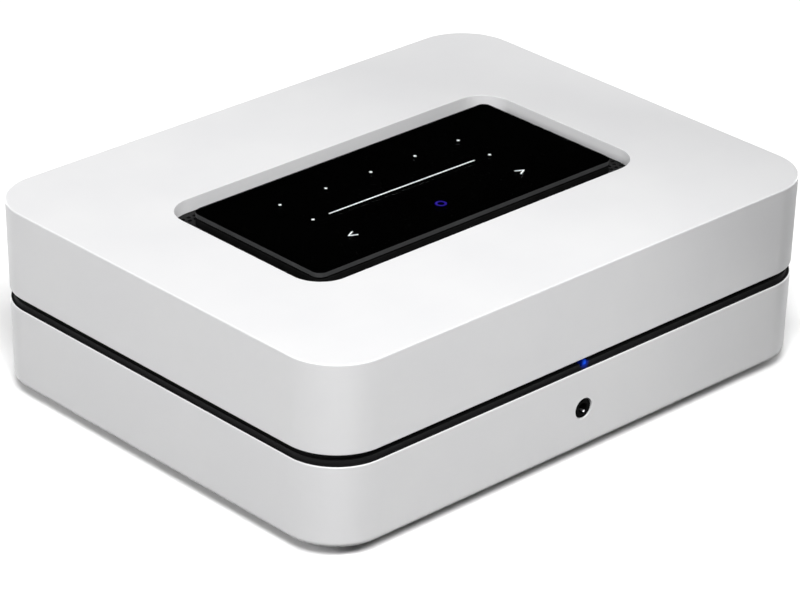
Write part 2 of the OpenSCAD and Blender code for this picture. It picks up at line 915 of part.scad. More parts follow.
module lan_socket() {
    y1 = panel_y + socket_proud;
    color("silver")
        translate([lan_x, 0, board_top])
            difference() {
                box([-lan_w / 2, y1 - lan_l, 0], [lan_w / 2, y1, lan_h]);
                profile_y(y1 - lan_cav_l, y1 + over) {
                    translate([-lan_cav_w / 2, lan_cav_z])
                        square([lan_cav_w, lan_cav_h]);
                    translate([-lan_latch_w / 2, lan_cav_z - lan_latch_h])
                        square([lan_latch_w, lan_cav_h]);
                    translate([-lan_catch_w / 2, lan_cav_z - 2 * lan_latch_h])
                        square([lan_catch_w, lan_cav_h]);
                }
            }
}

module usb_socket() {
    y1 = panel_y + socket_proud;
    color("silver")
        translate([usb_x, 0, board_top])
            difference() {
                box([-usb_w / 2, y1 - usb_l, 0], [usb_w / 2, y1, usb_h]);
                box([-usb_w / 2 + metal_t, y1 - usb_l + 2, metal_t],
                    [usb_w / 2 - metal_t, y1 + over, usb_h - metal_t]);
            }
}

module hdmi_socket() {
    y1 = panel_y + socket_proud;
    color("silver")
        translate([hdmi_x, 0, board_top])
            difference() {
                profile_y(y1 - hdmi_l, y1)
                    hdmi_outline(hdmi_w, hdmi_h);
                profile_y(y1 - hdmi_l + 2, y1 + over)
                    translate([0, metal_t])
                        hdmi_outline(hdmi_w - 2 * metal_t, hdmi_h - 2 * metal_t);
            }
}

// Contact tongues inside the USB and HDMI sockets
usb_tongue_t = 1.8;
hdmi_tongue_t = 1.1;

module socket_tongues() {
    y1 = panel_y + socket_proud;
    usb_y = y1 - usb_l + 2;
    hdmi_y = y1 - hdmi_l + 2;
    color("black") {
        box([usb_x - usb_w / 2 + 1, usb_y, board_top + usb_h - metal_t - 0.4 - usb_tongue_t],
            [usb_x + usb_w / 2 - 1, usb_y + tongue_l, board_top + usb_h - metal_t - 0.4]);
        box([hdmi_x - hdmi_w / 2 + 2, hdmi_y, board_top + (hdmi_h - hdmi_tongue_t) / 2],
            [hdmi_x + hdmi_w / 2 - 2, hdmi_y + tongue_l, board_top + (hdmi_h + hdmi_tongue_t) / 2]);
    }
}

module line_in_socket() {
    color("dimgray")
        translate([line_in_x, panel_in, jack_z])
            jack_socket(jack_nose_r, panel_t + socket_proud);
}

module ir_in_socket() {
    color("dimgray")
        translate([ir_in_x, panel_in, jack_z])
            jack_socket(jack_nose_r, panel_t + socket_proud);
}

// Phono socket: metal barrel round an insulating core
module sub_out_barrel() {
    color("silver")
        translate([sub_out_x, 0, board_top + sub_h])
            difference() {
                union() {
                    along_y(barrel_r, panel_y + sub_flange_t, panel_y + barrel_l);
                    along_y(barrel_tail_r, panel_in - barrel_in, panel_y + barrel_l);
                }
                along_y(barrel_tail_r - barrel_wall, panel_in - barrel_in - over, panel_y + barrel_l + over);
            }
}

module sub_out_insulator() {
    core_r = barrel_tail_r - barrel_wall - fit_clear;
    pin_hole_r = 1.65;
    color("#3a3540")
        translate([sub_out_x, 0, board_top + sub_h])
            difference() {
                union() {
                    difference() {
                        union() {
                            box([-sub_body / 2, panel_in - barrel_in - sub_back, -sub_h],
                                [sub_body / 2, panel_in, sub_body / 2]);
                            along_y(sub_neck_r, panel_in - over, panel_y + over);
                            along_y(sub_body / 2, panel_y, panel_y + sub_flange_t);
                        }
                        along_y(barrel_tail_r + fit_clear, panel_in - barrel_in, panel_y + barrel_l);
                    }
                    along_y(core_r, panel_in - barrel_in - over, panel_y + barrel_l - 1);
                }
                along_y(pin_hole_r, panel_in - barrel_in + 2, panel_y + barrel_l + over);
            }
}

// Places a terminal piece on its axis
module at_terminal(k) {
    translate([terminal_at(k), 0, terminal_z])
        children();
}

module terminal_collar(k) {
    color(k % 2 == 0 ? "firebrick" : "black")
        at_terminal(k)
            difference() {
                union() {
                    along_y(collar_r, panel_y, collar_top);
                    along_y(neck_r, panel_in - neck_l, panel_y + over);
                }
                along_y(stud_r + fit_clear, panel_in - neck_l - over, collar_top + over);
            }
}

module terminal_stud(k) {
    wire_y = collar_top + clamp_gap + wire_r;
    color("goldenrod")
        at_terminal(k)
            difference() {
                along_y(stud_r, stud_in, stud_end);
                along_y(plug_r, stud_end - plug_l, stud_end + over);
                translate([0, wire_y, 0])
                    post(wire_r, -2 * stud_r, 2 * stud_r);
            }
}

module terminal_washer(k) {
    color("goldenrod")
        at_terminal(k)
            difference() {
                along_y(washer_r, washer_y, washer_y + washer_t);
                along_y(stud_r + thread_clear, washer_y - over, washer_y + washer_t + over);
            }
}

// Cap with grip flutes that run from its plain inner rim to its end
module terminal_cap(k) {
    color(k % 2 == 0 ? "firebrick" : "black")
        at_terminal(k)
            difference() {
                translate([0, cap_y, 0])
                    rotate([-90, 0, 0])
                        rotate_extrude()
                            polygon([
                                [cap_hole_r, 0], [cap_r, 0], [cap_r, cap_l - cap_chamfer],
                                [cap_r - cap_chamfer, cap_l], [cap_hole_r, cap_l]
                            ]);
                along_y(stud_r + thread_clear, cap_y - over, stud_end + thread_clear);
                for (a = [1 : flutes])
                    rotate([0, a * 360 / flutes, 0])
                        translate([cap_r + flute_r / 3, 0, 0])
                            along_y(flute_r, cap_y + flute_plain, cap_end + over);
            }
}

module terminal_nuts() {
    color("silver")
        for (k = [0 : len(TERMINALS) - 1])
            at_terminal(k)
                difference() {
                    translate([0, panel_in - neck_l, 0])
                        rotate([90, 0, 0])
                            cylinder(r = nut_r, h = nut_t, $fn = 6);
                    along_y(stud_r + fit_clear, panel_in - neck_l - nut_t - over, panel_in);
                }
}

module speaker_leads() {
    bend_y = amp_y1 - stand_in + lead_bend;
    drop = terminal_z - lead_bend - board_top;
    color("dimgray")
        for (k = [0 : len(TERMINALS) - 1])
            translate([terminal_at(k), bend_y, terminal_z]) {
                along_y(lead_r, 0, stud_in - bend_y);
                translate([0, 0, -lead_bend])
                    rotate([90, 0, -90])
                        rotate_extrude(angle = 90)
                            translate([lead_bend, 0])
                                circle(lead_r);
                translate([0, -lead_bend, -lead_bend])
                    post(lead_r, -drop, 0);
            }
}

module radio_module() {
    can_w = 30;
    can_d = 22;
    can_h = 3.2;
    x = (signal_x0 + ribbon_x) / 2;
    y = main_y0 + main_d / 3;
    color("silver")
        box([x - can_w / 2, y - can_d / 2, board_top], [x + can_w / 2, y + can_d / 2, board_top + can_h]);
}

module antennas() {
    strip_l = 44;
    strip_h = 10;
    strip_t = 0.8;
    z = (upper_bottom + lip_h + top_z - top_wall) / 2;
    color("darkgreen")
        for (s = [-1, 1])
            translate([s * (cav_w - strip_t) / 2, mid_y, z])
                cube([strip_t, strip_l, strip_h], center = true);
}

sink_lift = 4;
sink_base = 4;
sink_w = 62;
sink_d = 44;
sink_side = 8;
sink_front = 4;
sink_foot_w = 10;
sink_foot_d = 16;
sink_x0 = signal_x0 + sink_side;
sink_y0 = amp_y0 + sink_front;

module heat_sink() {
    step = (sink_w - fin_t) / (fins - 1);
    z0 = board_top + sink_lift;
    color("lightgray")
        translate([sink_x0, sink_y0, 0]) {
            box([0, 0, z0], [sink_w, sink_d, z0 + sink_base]);
            for (k = [0 : fins - 1])
                box([k * step, 0, z0 + sink_base - over], [k * step + fin_t, sink_d, z0 + sink_base + fin_h]);
            for (x = [sink_w / 4, sink_w * 3 / 4])
                box([x - sink_foot_w / 2, (sink_d - sink_foot_d) / 2, board_top],
                    [x + sink_foot_w / 2, (sink_d + sink_foot_d) / 2, z0 + over]);
        }
}

module output_coils() {
    coil_r = 5.6;
    coil_h = 11;
    waist_r = 4.4;
    flange_h = 1.5;
    pitch = 12.5;
    x = signal_x1 - stand_in - coil_r;
    y = sink_y0 + coil_r + stand_in;
    color("saddlebrown")
        for (k = [0 : 2])
            translate([x, y + k * pitch, board_top])
                rotate_extrude()
                    polygon([
                        [0, 0], [coil_r, 0], [coil_r, flange_h], [waist_r, flange_h],
                        [waist_r, coil_h - flange_h], [coil_r, coil_h - flange_h],
                        [coil_r, coil_h], [0, coil_h]
                    ]);
}

power_mid = (power_x0 + power_x1) / 2;

module transformer() {
    core_w = 34;
    core_d = 26;
    core_h = 22;
    bobbin_r = 11;
    foot = 4;
    color("dimgray")
        translate([power_mid, (power_y0 + power_y1) / 2, board_top]) {
            box([-core_w / 2, -core_d / 2, 0], [core_w / 2, core_d / 2, foot]);
            box([-core_w / 2, -core_d / 4, foot - over], [core_w / 2, core_d / 4, core_h]);
            post(bobbin_r, foot - over, core_h - foot);
        }
}

module bulk_capacitors() {
    can_r = 9;
    can_h = 30;
    rim = 1;
    color("#30303a")
        for (s = [-1, 1])
            translate([power_mid + s * (can_r + rim), power_y0 + can_r + stand_in + stand_r, board_top])
                rotate_extrude()
                    polygon([
                        [0, 0], [can_r - rim, 0], [can_r, rim], [can_r, 3 * rim], [can_r - rim / 2, 4 * rim],
                        [can_r, 5 * rim], [can_r, can_h - rim], [can_r - rim, can_h], [0, can_h]
                    ]);
}

module line_choke() {
    ring_r = 7.5;
    winding_r = 3.8;
    color("goldenrod")
        translate([power_mid, power_y1 - ring_r - winding_r - stand_in, board_top + winding_r])
            rotate_extrude()
                translate([ring_r, 0])
                    circle(winding_r);
}

upper_shell();
lower_shell();
mid_band();
base_plate();
feet();
foot_screws();
case_screws();
touch_glass();
touch_sensor();
glass_carrier();
touch_board();
touch_ribbon();
vent_mesh();
vent_screws();
light_pipe();
led_board();
headphone_socket();
headphone_board();
rear_panel();
mains_inlet();
inlet_pins();
lan_socket();
usb_socket();
hdmi_socket();
socket_tongues();
line_in_socket();
ir_in_socket();
sub_out_barrel();
sub_out_insulator();
for (k = [0 : len(TERMINALS) - 1]) {
    terminal_collar(k);
    terminal_stud(k);
    terminal_washer(k);
    terminal_cap(k);
}
terminal_nuts();
speaker_leads();
main_board();
radio_module();
antennas();
amp_board();
heat_sink();
output_coils();
power_board();
transformer();
bulk_capacitors();
line_choke();
board_screws();
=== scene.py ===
import json
import math

import bmesh
import bpy
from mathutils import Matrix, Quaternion, Vector


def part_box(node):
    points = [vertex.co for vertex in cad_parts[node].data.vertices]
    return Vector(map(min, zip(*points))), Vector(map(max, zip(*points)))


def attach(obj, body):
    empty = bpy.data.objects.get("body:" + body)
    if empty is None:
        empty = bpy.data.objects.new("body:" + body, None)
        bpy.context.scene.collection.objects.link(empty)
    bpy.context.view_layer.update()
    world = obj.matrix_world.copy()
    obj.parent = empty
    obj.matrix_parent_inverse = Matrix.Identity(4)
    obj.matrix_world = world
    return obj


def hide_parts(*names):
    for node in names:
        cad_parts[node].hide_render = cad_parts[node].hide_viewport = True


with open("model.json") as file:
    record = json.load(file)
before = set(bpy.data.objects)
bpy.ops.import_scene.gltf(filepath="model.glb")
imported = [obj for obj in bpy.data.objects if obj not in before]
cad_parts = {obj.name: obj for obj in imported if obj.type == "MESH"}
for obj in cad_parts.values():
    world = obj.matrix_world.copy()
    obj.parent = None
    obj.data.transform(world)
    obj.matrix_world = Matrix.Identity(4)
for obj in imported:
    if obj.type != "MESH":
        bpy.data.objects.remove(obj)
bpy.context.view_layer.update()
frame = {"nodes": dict(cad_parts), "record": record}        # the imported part: its nodes, bodies and record
nodes = frame["nodes"]
mm = 0.001
weld = 0.002 * mm    # points nearer than this are merged


# Modelling helpers: everything is shaped in edit mode with Blender's own tools

def only(piece):
    if bpy.context.mode != "OBJECT":
        bpy.ops.object.mode_set(mode="OBJECT")
    bpy.ops.object.select_all(action="DESELECT")
    if piece:
        piece.select_set(True)
        bpy.context.view_layer.objects.active = piece


def edit(piece, kind="FACE"):
    only(piece)
    bpy.ops.object.mode_set(mode="EDIT")
    bpy.ops.mesh.select_mode(type=kind)


def pick(piece, kind, wanted):    # selects by place or normal, in edit mode
    bpy.ops.mesh.select_mode(type=kind)
    bpy.ops.mesh.select_all(action="DESELECT")
    mesh = bmesh.from_edit_mesh(piece.data)
    mesh.normal_update()
    for part in {"FACE": mesh.faces, "EDGE": mesh.edges, "VERT": mesh.verts}[kind]:
        if wanted(part):
            part.select_set(True)
    mesh.select_flush_mode()
    bmesh.update_edit_mesh(piece.data)


def startPlate(name, width, depth, corner, place, steps):
    only(None)
    bpy.ops.mesh.primitive_plane_add(size=1, location=(0, 0, 0))
    piece = bpy.context.object
    piece.name = name
    edit(piece, "VERT")
    bpy.ops.mesh.select_all(action="SELECT")
    bpy.ops.transform.resize(value=(width, depth, 1))
    bpy.ops.transform.translate(value=place)
    bpy.ops.mesh.bevel(offset=corner, offset_type="OFFSET", segments=steps, profile=0.5, affect="VERTICES")
    bpy.ops.mesh.select_mode(type="FACE")
    bpy.ops.mesh.select_all(action="SELECT")
    return piece


def stepIn(inward, rise):    # one step of a wall: the picked face shrinks evenly and lifts
    bpy.ops.mesh.inset(thickness=inward, depth=0, use_boundary=True, use_even_offset=True)
    bpy.ops.transform.translate(value=(0, 0, rise))


def roundOver(radius, steps, up=1):    # a quarter round made of such steps
    angles = [math.radians(90 * k / steps) for k in range(steps + 1)]
    for a, b in zip(angles, angles[1:]):
        stepIn(radius * (math.cos(a) - math.cos(b)), up * radius * (math.sin(b) - math.sin(a)))


def pull(rise):
    bpy.ops.mesh.extrude_region_move(TRANSFORM_OT_translate={"value": (0, 0, rise)})


def closeUp(piece):    # one clean outward skin
    edit(piece)
    bpy.ops.mesh.select_all(action="SELECT")
    bpy.ops.mesh.remove_doubles(threshold=weld)
    bpy.ops.mesh.normals_make_consistent(inside=False)
    only(piece)


def block(name, width, depth, corner, place, height, steps=12):
    piece = startPlate(name, width, depth, corner, place, steps)
    pull(height)
    closeUp(piece)
    return piece


def rod(name, radius, length, place, turn=(0, 0, 0), sides=64):
    only(None)
    bpy.ops.mesh.primitive_cylinder_add(vertices=sides, radius=radius, depth=length,
                                        location=place, rotation=turn)
    bpy.context.object.name = name
    bpy.ops.object.transform_apply(location=True, rotation=True, scale=True)
    return bpy.context.object


def useModifier(piece, kind, **settings):
    only(piece)
    modifier = piece.modifiers.new(kind.lower(), kind)
    for key, value in settings.items():
        setattr(modifier, key, value)
    bpy.ops.object.modifier_apply(modifier=modifier.name)


def combine(piece, tool, how="DIFFERENCE"):    # cuts with a second shape, or joins it on
    useModifier(piece, "BOOLEAN", object=tool, operation=how, solver="EXACT")
    bpy.data.objects.remove(tool)


def drawn(name, start, width, thick, steps):    # a bar of this width drawn out along a path in Y and Z
    only(None)
    bpy.ops.mesh.primitive_plane_add(size=1, location=(0, 0, 0), rotation=(math.radians(90), 0, 0))
    piece = bpy.context.object
    piece.name = name
    bpy.ops.object.transform_apply(location=True, rotation=True, scale=True)
    edit(piece)
    bpy.ops.mesh.select_all(action="SELECT")
    bpy.ops.transform.resize(value=(width, 1, thick))
    bpy.ops.transform.translate(value=start)
    for along, rise in steps:
        bpy.ops.mesh.extrude_region_move(TRANSFORM_OT_translate={"value": (0, along, rise)})
    closeUp(piece)
    return piece


def disc(name, radius, place, sides):
    only(None)
    bpy.ops.mesh.primitive_circle_add(vertices=sides, radius=radius, fill_type="NGON", location=place)
    piece = bpy.context.object
    piece.name = name
    bpy.ops.object.transform_apply(location=True, rotation=True, scale=True)
    edit(piece)
    bpy.ops.mesh.select_all(action="SELECT")
    return piece


def copyTo(piece, name, shift):    # a copy with its own mesh, moved in that mesh
    only(piece)
    bpy.ops.object.duplicate()
    double = bpy.context.object
    double.name = name
    edit(double)
    bpy.ops.mesh.select_all(action="SELECT")
    bpy.ops.transform.translate(value=shift)
    only(double)
    return double


def middle(node):
    low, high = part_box(node)
    return (low + high) / 2


def finishPiece(piece, material, replaced=(), body="chassis", soften=0, angle=32):
    only(piece)
    bpy.ops.object.transform_apply(location=True, rotation=True, scale=True)
    if soften:
        useModifier(piece, "BEVEL", width=soften, segments=2, limit_method="ANGLE",
                    angle_limit=math.radians(40), use_clamp_overlap=True, harden_normals=False)
    bpy.ops.object.shade_smooth_by_angle(angle=math.radians(angle))
    useModifier(piece, "WEIGHTED_NORMAL", keep_sharp=True)
    piece.data.materials.clear()
    piece.data.materials.append(material)
    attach(piece, body)
    if replaced:
        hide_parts(*replaced)
    return piece


# Shader groups shared by the finishes

def makeGroup(name, inputs, outputs):
    group = bpy.data.node_groups.new(name, "ShaderNodeTree")
    for label, value in inputs.items():
        group.interface.new_socket(label, in_out="INPUT", socket_type="NodeSocketFloat").default_value = value
    for label in outputs:
        group.interface.new_socket(label, in_out="OUTPUT", socket_type="NodeSocketFloat")
    return group, group.nodes.new("NodeGroupInput"), group.nodes.new("NodeGroupOutput")


def put(tree, kind, **settings):
    node = tree.nodes.new(kind)
    for key, value in settings.items():
        if hasattr(node, key):
            setattr(node, key, value)
        else:
            node.inputs[key.replace("_", " ").title()].default_value = value
    return node


def join(tree, source, target):
    tree.links.new(source, target)


def maths(tree, kind, first, second):
    node = put(tree, "ShaderNodeMath", operation=kind)
    for socket, value in zip(node.inputs, (first, second)):
        if isinstance(value, (int, float)):
            socket.default_value = value
        else:
            join(tree, value, socket)
    return node.outputs[0]


def makeGrain():    # fine skin of a moulding or a coat of paint, and its slow mottling
    group, given, made = makeGroup("fineGrain", {"Scale": 2000, "Mottle Scale": 40}, ["Height", "Mottle"])
    coords = put(group, "ShaderNodeTexCoord")
    fine = put(group, "ShaderNodeTexNoise", Detail=3, Roughness=0.6)
    slow = put(group, "ShaderNodeTexNoise", Detail=4, Roughness=0.55)
    for noise, label in ((fine, "Scale"), (slow, "Mottle Scale")):
        join(group, coords.outputs["Object"], noise.inputs["Vector"])
        join(group, given.outputs[label], noise.inputs["Scale"])
    join(group, fine.outputs["Fac"], made.inputs["Height"])
    join(group, slow.outputs["Fac"], made.inputs["Mottle"])
    return group


def makeBrushed():    # long scratches along X
    group, given, made = makeGroup("brushedLines", {"Scale": 900, "Stretch": 0.02}, ["Height", "Mottle"])
    coords = put(group, "ShaderNodeTexCoord")
    shape = put(group, "ShaderNodeCombineXYZ", Y=1, Z=1)
    join(group, given.outputs["Stretch"], shape.inputs["X"])
    stretched = put(group, "ShaderNodeVectorMath", operation="MULTIPLY")
    join(group, coords.outputs["Object"], stretched.inputs[0])
    join(group, shape.outputs[0], stretched.inputs[1])
    lines = put(group, "ShaderNodeTexNoise", Detail=4, Roughness=0.7)
    join(group, stretched.outputs[0], lines.inputs["Vector"])
    join(group, given.outputs["Scale"], lines.inputs["Scale"])
    cloud = put(group, "ShaderNodeTexNoise", Scale=90, Detail=3)
    join(group, coords.outputs["Object"], cloud.inputs["Vector"])
    join(group, lines.outputs["Fac"], made.inputs["Height"])
    join(group, cloud.outputs["Fac"], made.inputs["Mottle"])
    return group


def makeTurned():    # fine lathe marks, as steps along Y
    group, given, made = makeGroup("latheMarks", {"Scale": 2500}, ["Height", "Mottle"])
    coords = put(group, "ShaderNodeTexCoord")
    shape = put(group, "ShaderNodeVectorMath", operation="MULTIPLY")
    shape.inputs[1].default_value = (0.02, 1, 0.02)
    join(group, coords.outputs["Object"], shape.inputs[0])
    lines = put(group, "ShaderNodeTexNoise", Detail=2, Roughness=0.5)
    join(group, shape.outputs[0], lines.inputs["Vector"])
    join(group, given.outputs["Scale"], lines.inputs["Scale"])
    cloud = put(group, "ShaderNodeTexNoise", Scale=150, Detail=3)
    join(group, coords.outputs["Object"], cloud.inputs["Vector"])
    join(group, lines.outputs["Fac"], made.inputs["Height"])
    join(group, cloud.outputs["Fac"], made.inputs["Mottle"])
    return group


def makeTracks():    # printed wiring: straight tracks, round pads
    group, given, made = makeGroup("boardTracks", {"Scale": 260}, ["Tracks", "Pads"])
    coords = put(group, "ShaderNodeTexCoord")
    cells = put(group, "ShaderNodeTexVoronoi", distance="MANHATTAN", feature="DISTANCE_TO_EDGE")
    dots = put(group, "ShaderNodeTexVoronoi", Randomness=0.35)
    for texture in (cells, dots):
        join(group, coords.outputs["Object"], texture.inputs["Vector"])
        join(group, given.outputs["Scale"], texture.inputs["Scale"])
    join(group, maths(group, "LESS_THAN", cells.outputs["Distance"], 0.07), made.inputs["Tracks"])
    join(group, maths(group, "LESS_THAN", dots.outputs["Distance"], 0.16), made.inputs["Pads"])
    return group


def makeBands(axis):    # even bands across one axis, as on a winding or a flat cable
    group, given, made = makeGroup("bands" + axis, {"Scale": 300}, ["Height"])
    coords = put(group, "ShaderNodeTexCoord")
    waves = put(group, "ShaderNodeTexWave", wave_type="BANDS", bands_direction=axis)
    join(group, coords.outputs["Object"], waves.inputs["Vector"])
    join(group, given.outputs["Scale"], waves.inputs["Scale"])
    join(group, waves.outputs["Fac"], made.inputs["Height"])
    return group


grain = makeGrain()
brushed = makeBrushed()
turned = makeTurned()
tracks = makeTracks()
bandsX = makeBands("X")
bandsZ = makeBands("Z")
print("shader groups:", len(bpy.data.node_groups))


# Finishes

def newFinish(name, **sockets):
    material = bpy.data.materials.new(name)
    material.use_nodes = True
    shader = material.node_tree.nodes["Principled BSDF"]
    for key, value in sockets.items():
        shader.inputs[key.replace("_", " ")].default_value = value
    return material, material.node_tree, shader


def placeGroup(tree, group, **values):
    node = tree.nodes.new("ShaderNodeGroup")
    node.node_tree = group
    for key, value in values.items():
        node.inputs[key.replace("_", " ")].default_value = value
    return node


def blendColour(tree, mask, low, high):
    mix = put(tree, "ShaderNodeMix", data_type="RGBA")
    join(tree, mask, mix.inputs["Factor"])
    mix.inputs[6].default_value = (*low, 1)
    mix.inputs[7].default_value = (*high, 1)
    return mix.outputs[2]


def spread(tree, mask, low, high):    # noise lies about 0.35 to 0.65
    node = put(tree, "ShaderNodeMapRange")
    node.inputs["From Min"].default_value = 0.32
    node.inputs["From Max"].default_value = 0.68
    node.inputs["To Min"].default_value = low
    node.inputs["To Max"].default_value = high
    join(tree, mask, node.inputs["Value"])
    return node.outputs["Result"]


def raised(tree, shader, height, strength, depth):
    bump = put(tree, "ShaderNodeBump", Strength=strength, Distance=depth)
    join(tree, height, bump.inputs["Height"])
    join(tree, bump.outputs["Normal"], shader.inputs["Normal"])


def coated(name, dark, light, rough, group, values, bump, depth, **sockets):
    material, tree, shader = newFinish(name, **sockets)
    skin = placeGroup(tree, group, **values)
    mask = spread(tree, skin.outputs["Mottle"], 0, 1)
    join(tree, blendColour(tree, mask, dark, light), shader.inputs["Base Color"])
    join(tree, spread(tree, skin.outputs["Mottle"], *rough), shader.inputs["Roughness"])
    raised(tree, shader, skin.outputs["Height"], bump, depth)
    return material


satinWhite = coated("satinWhite", (0.79, 0.79, 0.80), (0.81, 0.81, 0.815), (0.36, 0.42), grain,
                    {"Scale": 2600, "Mottle_Scale": 30}, 0.12, 0.02 * mm,
                    Coat_Weight=0.08, Coat_Roughness=0.25)
softBlack = coated("softBlack", (0.007, 0.007, 0.0073), (0.0098, 0.0098, 0.0102), (0.55, 0.68), grain,
                   {"Scale": 3000, "Mottle_Scale": 60}, 0.2, 0.02 * mm, Specular_IOR_Level=0.1)
groundEdge = coated("groundEdge", (0.042, 0.043, 0.044), (0.056, 0.057, 0.058), (0.5, 0.62), grain,
                    {"Scale": 2600, "Mottle_Scale": 120}, 0.3, 0.02 * mm, Specular_IOR_Level=0.3)
matteBlack = coated("matteBlack", (0.004, 0.004, 0.004), (0.007, 0.007, 0.007), (0.7, 0.8), grain,
                    {"Scale": 2800, "Mottle_Scale": 180}, 0.2, 0.02 * mm, Specular_IOR_Level=0.05)
# the same black moulding as matteBlack, made darker as painted shade for the socket sitting in the shell's
# hole
jackBlackPaintedShade = coated("jackBlackPaintedShade", (0.0012, 0.0012, 0.0012), (0.0022, 0.0022, 0.0022), (0.7, 0.8), grain,
                   {"Scale": 2800, "Mottle_Scale": 180}, 0.2, 0.02 * mm, Specular_IOR_Level=0.03)
goldContact = coated("goldContact", (0.72, 0.48, 0.16), (0.86, 0.62, 0.26), (0.18, 0.3), grain,
                     {"Scale": 2200, "Mottle_Scale": 400}, 0.1, 0.01 * mm, Metallic=1.0)
powderBlack = coated("powderBlack", (0.012, 0.012, 0.013), (0.020, 0.020, 0.021), (0.45, 0.6), grain,
                     {"Scale": 1700, "Mottle_Scale": 120}, 0.45, 0.05 * mm)
meshBlack = coated("meshBlack", (0.003, 0.003, 0.0033), (0.006, 0.006, 0.0063), (0.5, 0.65), grain,
                   {"Scale": 2200, "Mottle_Scale": 200}, 0.25, 0.02 * mm, Specular_IOR_Level=0.25)
rubberBlack = coated("rubberBlack", (0.014, 0.014, 0.014), (0.024, 0.024, 0.024), (0.7, 0.85), grain,
                     {"Scale": 2500, "Mottle_Scale": 150}, 0.5, 0.04 * mm)
zincSteel = coated("zincSteel", (0.46, 0.46, 0.47), (0.62, 0.62, 0.63), (0.25, 0.4), grain,
                   {"Scale": 1800, "Mottle_Scale": 300}, 0.15, 0.02 * mm, Metallic=1.0)
mouldBlack = coated("mouldBlack", (0.006, 0.006, 0.0065), (0.010, 0.010, 0.011), (0.42, 0.55), grain,
                    {"Scale": 2800, "Mottle_Scale": 180}, 0.25, 0.02 * mm, Specular_IOR_Level=0.25)
tinPlate = coated("tinPlate", (0.55, 0.55, 0.54), (0.72, 0.72, 0.70), (0.22, 0.36), brushed,
                  {"Scale": 1400, "Stretch": 0.05}, 0.12, 0.02 * mm, Metallic=1.0)
nickelTurned = coated("nickelTurned", (0.62, 0.57, 0.46), (0.80, 0.74, 0.62), (0.16, 0.28), turned,
                      {"Scale": 2600}, 0.15, 0.02 * mm, Metallic=1.0)
capRed = coated("capRed", (0.34, 0.012, 0.010), (0.44, 0.018, 0.014), (0.22, 0.32), grain,
                {"Scale": 2400, "Mottle_Scale": 140}, 0.08, 0.02 * mm, Coat_Weight=0.3, Coat_Roughness=0.12)
capBlack = coated("capBlack", (0.010, 0.010, 0.010), (0.018, 0.018, 0.018), (0.22, 0.32), grain,
                  {"Scale": 2400, "Mottle_Scale": 140}, 0.08, 0.02 * mm, Coat_Weight=0.3, Coat_Roughness=0.12)
leadSleeve = coated("leadSleeve", (0.05, 0.05, 0.055), (0.08, 0.08, 0.085), (0.45, 0.6), grain,
                    {"Scale": 2400, "Mottle_Scale": 200}, 0.15, 0.02 * mm)
sinkBlack = coated("sinkBlack", (0.03, 0.03, 0.032), (0.06, 0.06, 0.063), (0.35, 0.5), brushed,
                   {"Scale": 900, "Stretch": 0.03}, 0.2, 0.03 * mm, Metallic=0.6)
ferriteCore = coated("ferriteCore", (0.05, 0.05, 0.05), (0.11, 0.10, 0.09), (0.55, 0.75), grain,
                     {"Scale": 1500, "Mottle_Scale": 220}, 0.4, 0.05 * mm)
canSleeve = coated("canSleeve", (0.012, 0.014, 0.03), (0.02, 0.024, 0.05), (0.25, 0.35), grain,
                   {"Scale": 2000, "Mottle_Scale": 160}, 0.1, 0.02 * mm, Coat_Weight=0.2)


def makePrintBlack():    # opaque ink under the glass
    material, tree, shader = newFinish("printBlack", Specular_IOR_Level=0.0)
    skin = placeGroup(tree, grain, Scale=1800, Mottle_Scale=90)
    mask = spread(tree, skin.outputs["Mottle"], 0, 1)
    join(tree, blendColour(tree, mask, (0.0002, 0.0002, 0.0002), (0.0005, 0.0005, 0.0005)),
         shader.inputs["Base Color"])
    join(tree, spread(tree, skin.outputs["Height"], 0.7, 0.8), shader.inputs["Roughness"])
    return material


def makeClearGlass():    # polished cover glass with a breath of handling on it
    material, tree, shader = newFinish("clearGlass", Transmission_Weight=1.0, IOR=1.5)
    shader.inputs["Base Color"].default_value = (0.9, 0.93, 0.93, 1)
    skin = placeGroup(tree, grain, Scale=500, Mottle_Scale=35)
    join(tree, spread(tree, skin.outputs["Mottle"], 0.0, 0.03), shader.inputs["Roughness"])
    return material


def makeLit(name, colour, strength, core):    # a lit mark, a little brighter in patches
    material, tree, shader = newFinish(name, Emission_Strength=strength, Roughness=0.4)
    skin = placeGroup(tree, grain, Scale=1500, Mottle_Scale=500)
    tint = blendColour(tree, spread(tree, skin.outputs["Mottle"], 0, 1), colour, core)
    join(tree, tint, shader.inputs["Base Color"])
    join(tree, tint, shader.inputs["Emission Color"])
    return material


def fallOff(tree, centre, reach):    # 0 at a point, 1 from this far off
    coords = put(tree, "ShaderNodeTexCoord")
    away = put(tree, "ShaderNodeVectorMath", operation="DISTANCE")
    join(tree, coords.outputs["Object"], away.inputs[0])
    away.inputs[1].default_value = centre
    fall = put(tree, "ShaderNodeMapRange", interpolation_type="SMOOTHSTEP")
    fall.inputs["From Min"].default_value = 0
    fall.inputs["From Max"].default_value = reach
    join(tree, away.outputs["Value"], fall.inputs["Value"])
    return fall.outputs["Result"]


def makeLens():    # the light pipe, bright in the middle
    material, tree, shader = newFinish("lensBlue", Emission_Strength=1.0, Specular_IOR_Level=0.0)
    skin = placeGroup(tree, grain, Scale=2200, Mottle_Scale=300)
    join(tree, spread(tree, skin.outputs["Mottle"], 0.3, 0.4), shader.inputs["Roughness"])
    join(tree, blendColour(tree, skin.outputs["Mottle"], (0.001, 0.002, 0.02), (0.002, 0.004, 0.03)),
         shader.inputs["Base Color"])
    tint = blendColour(tree, fallOff(tree, lightCentre, glow["reach"]), glow["core"], glow["rim"])
    join(tree, tint, shader.inputs["Emission Color"])
    return material


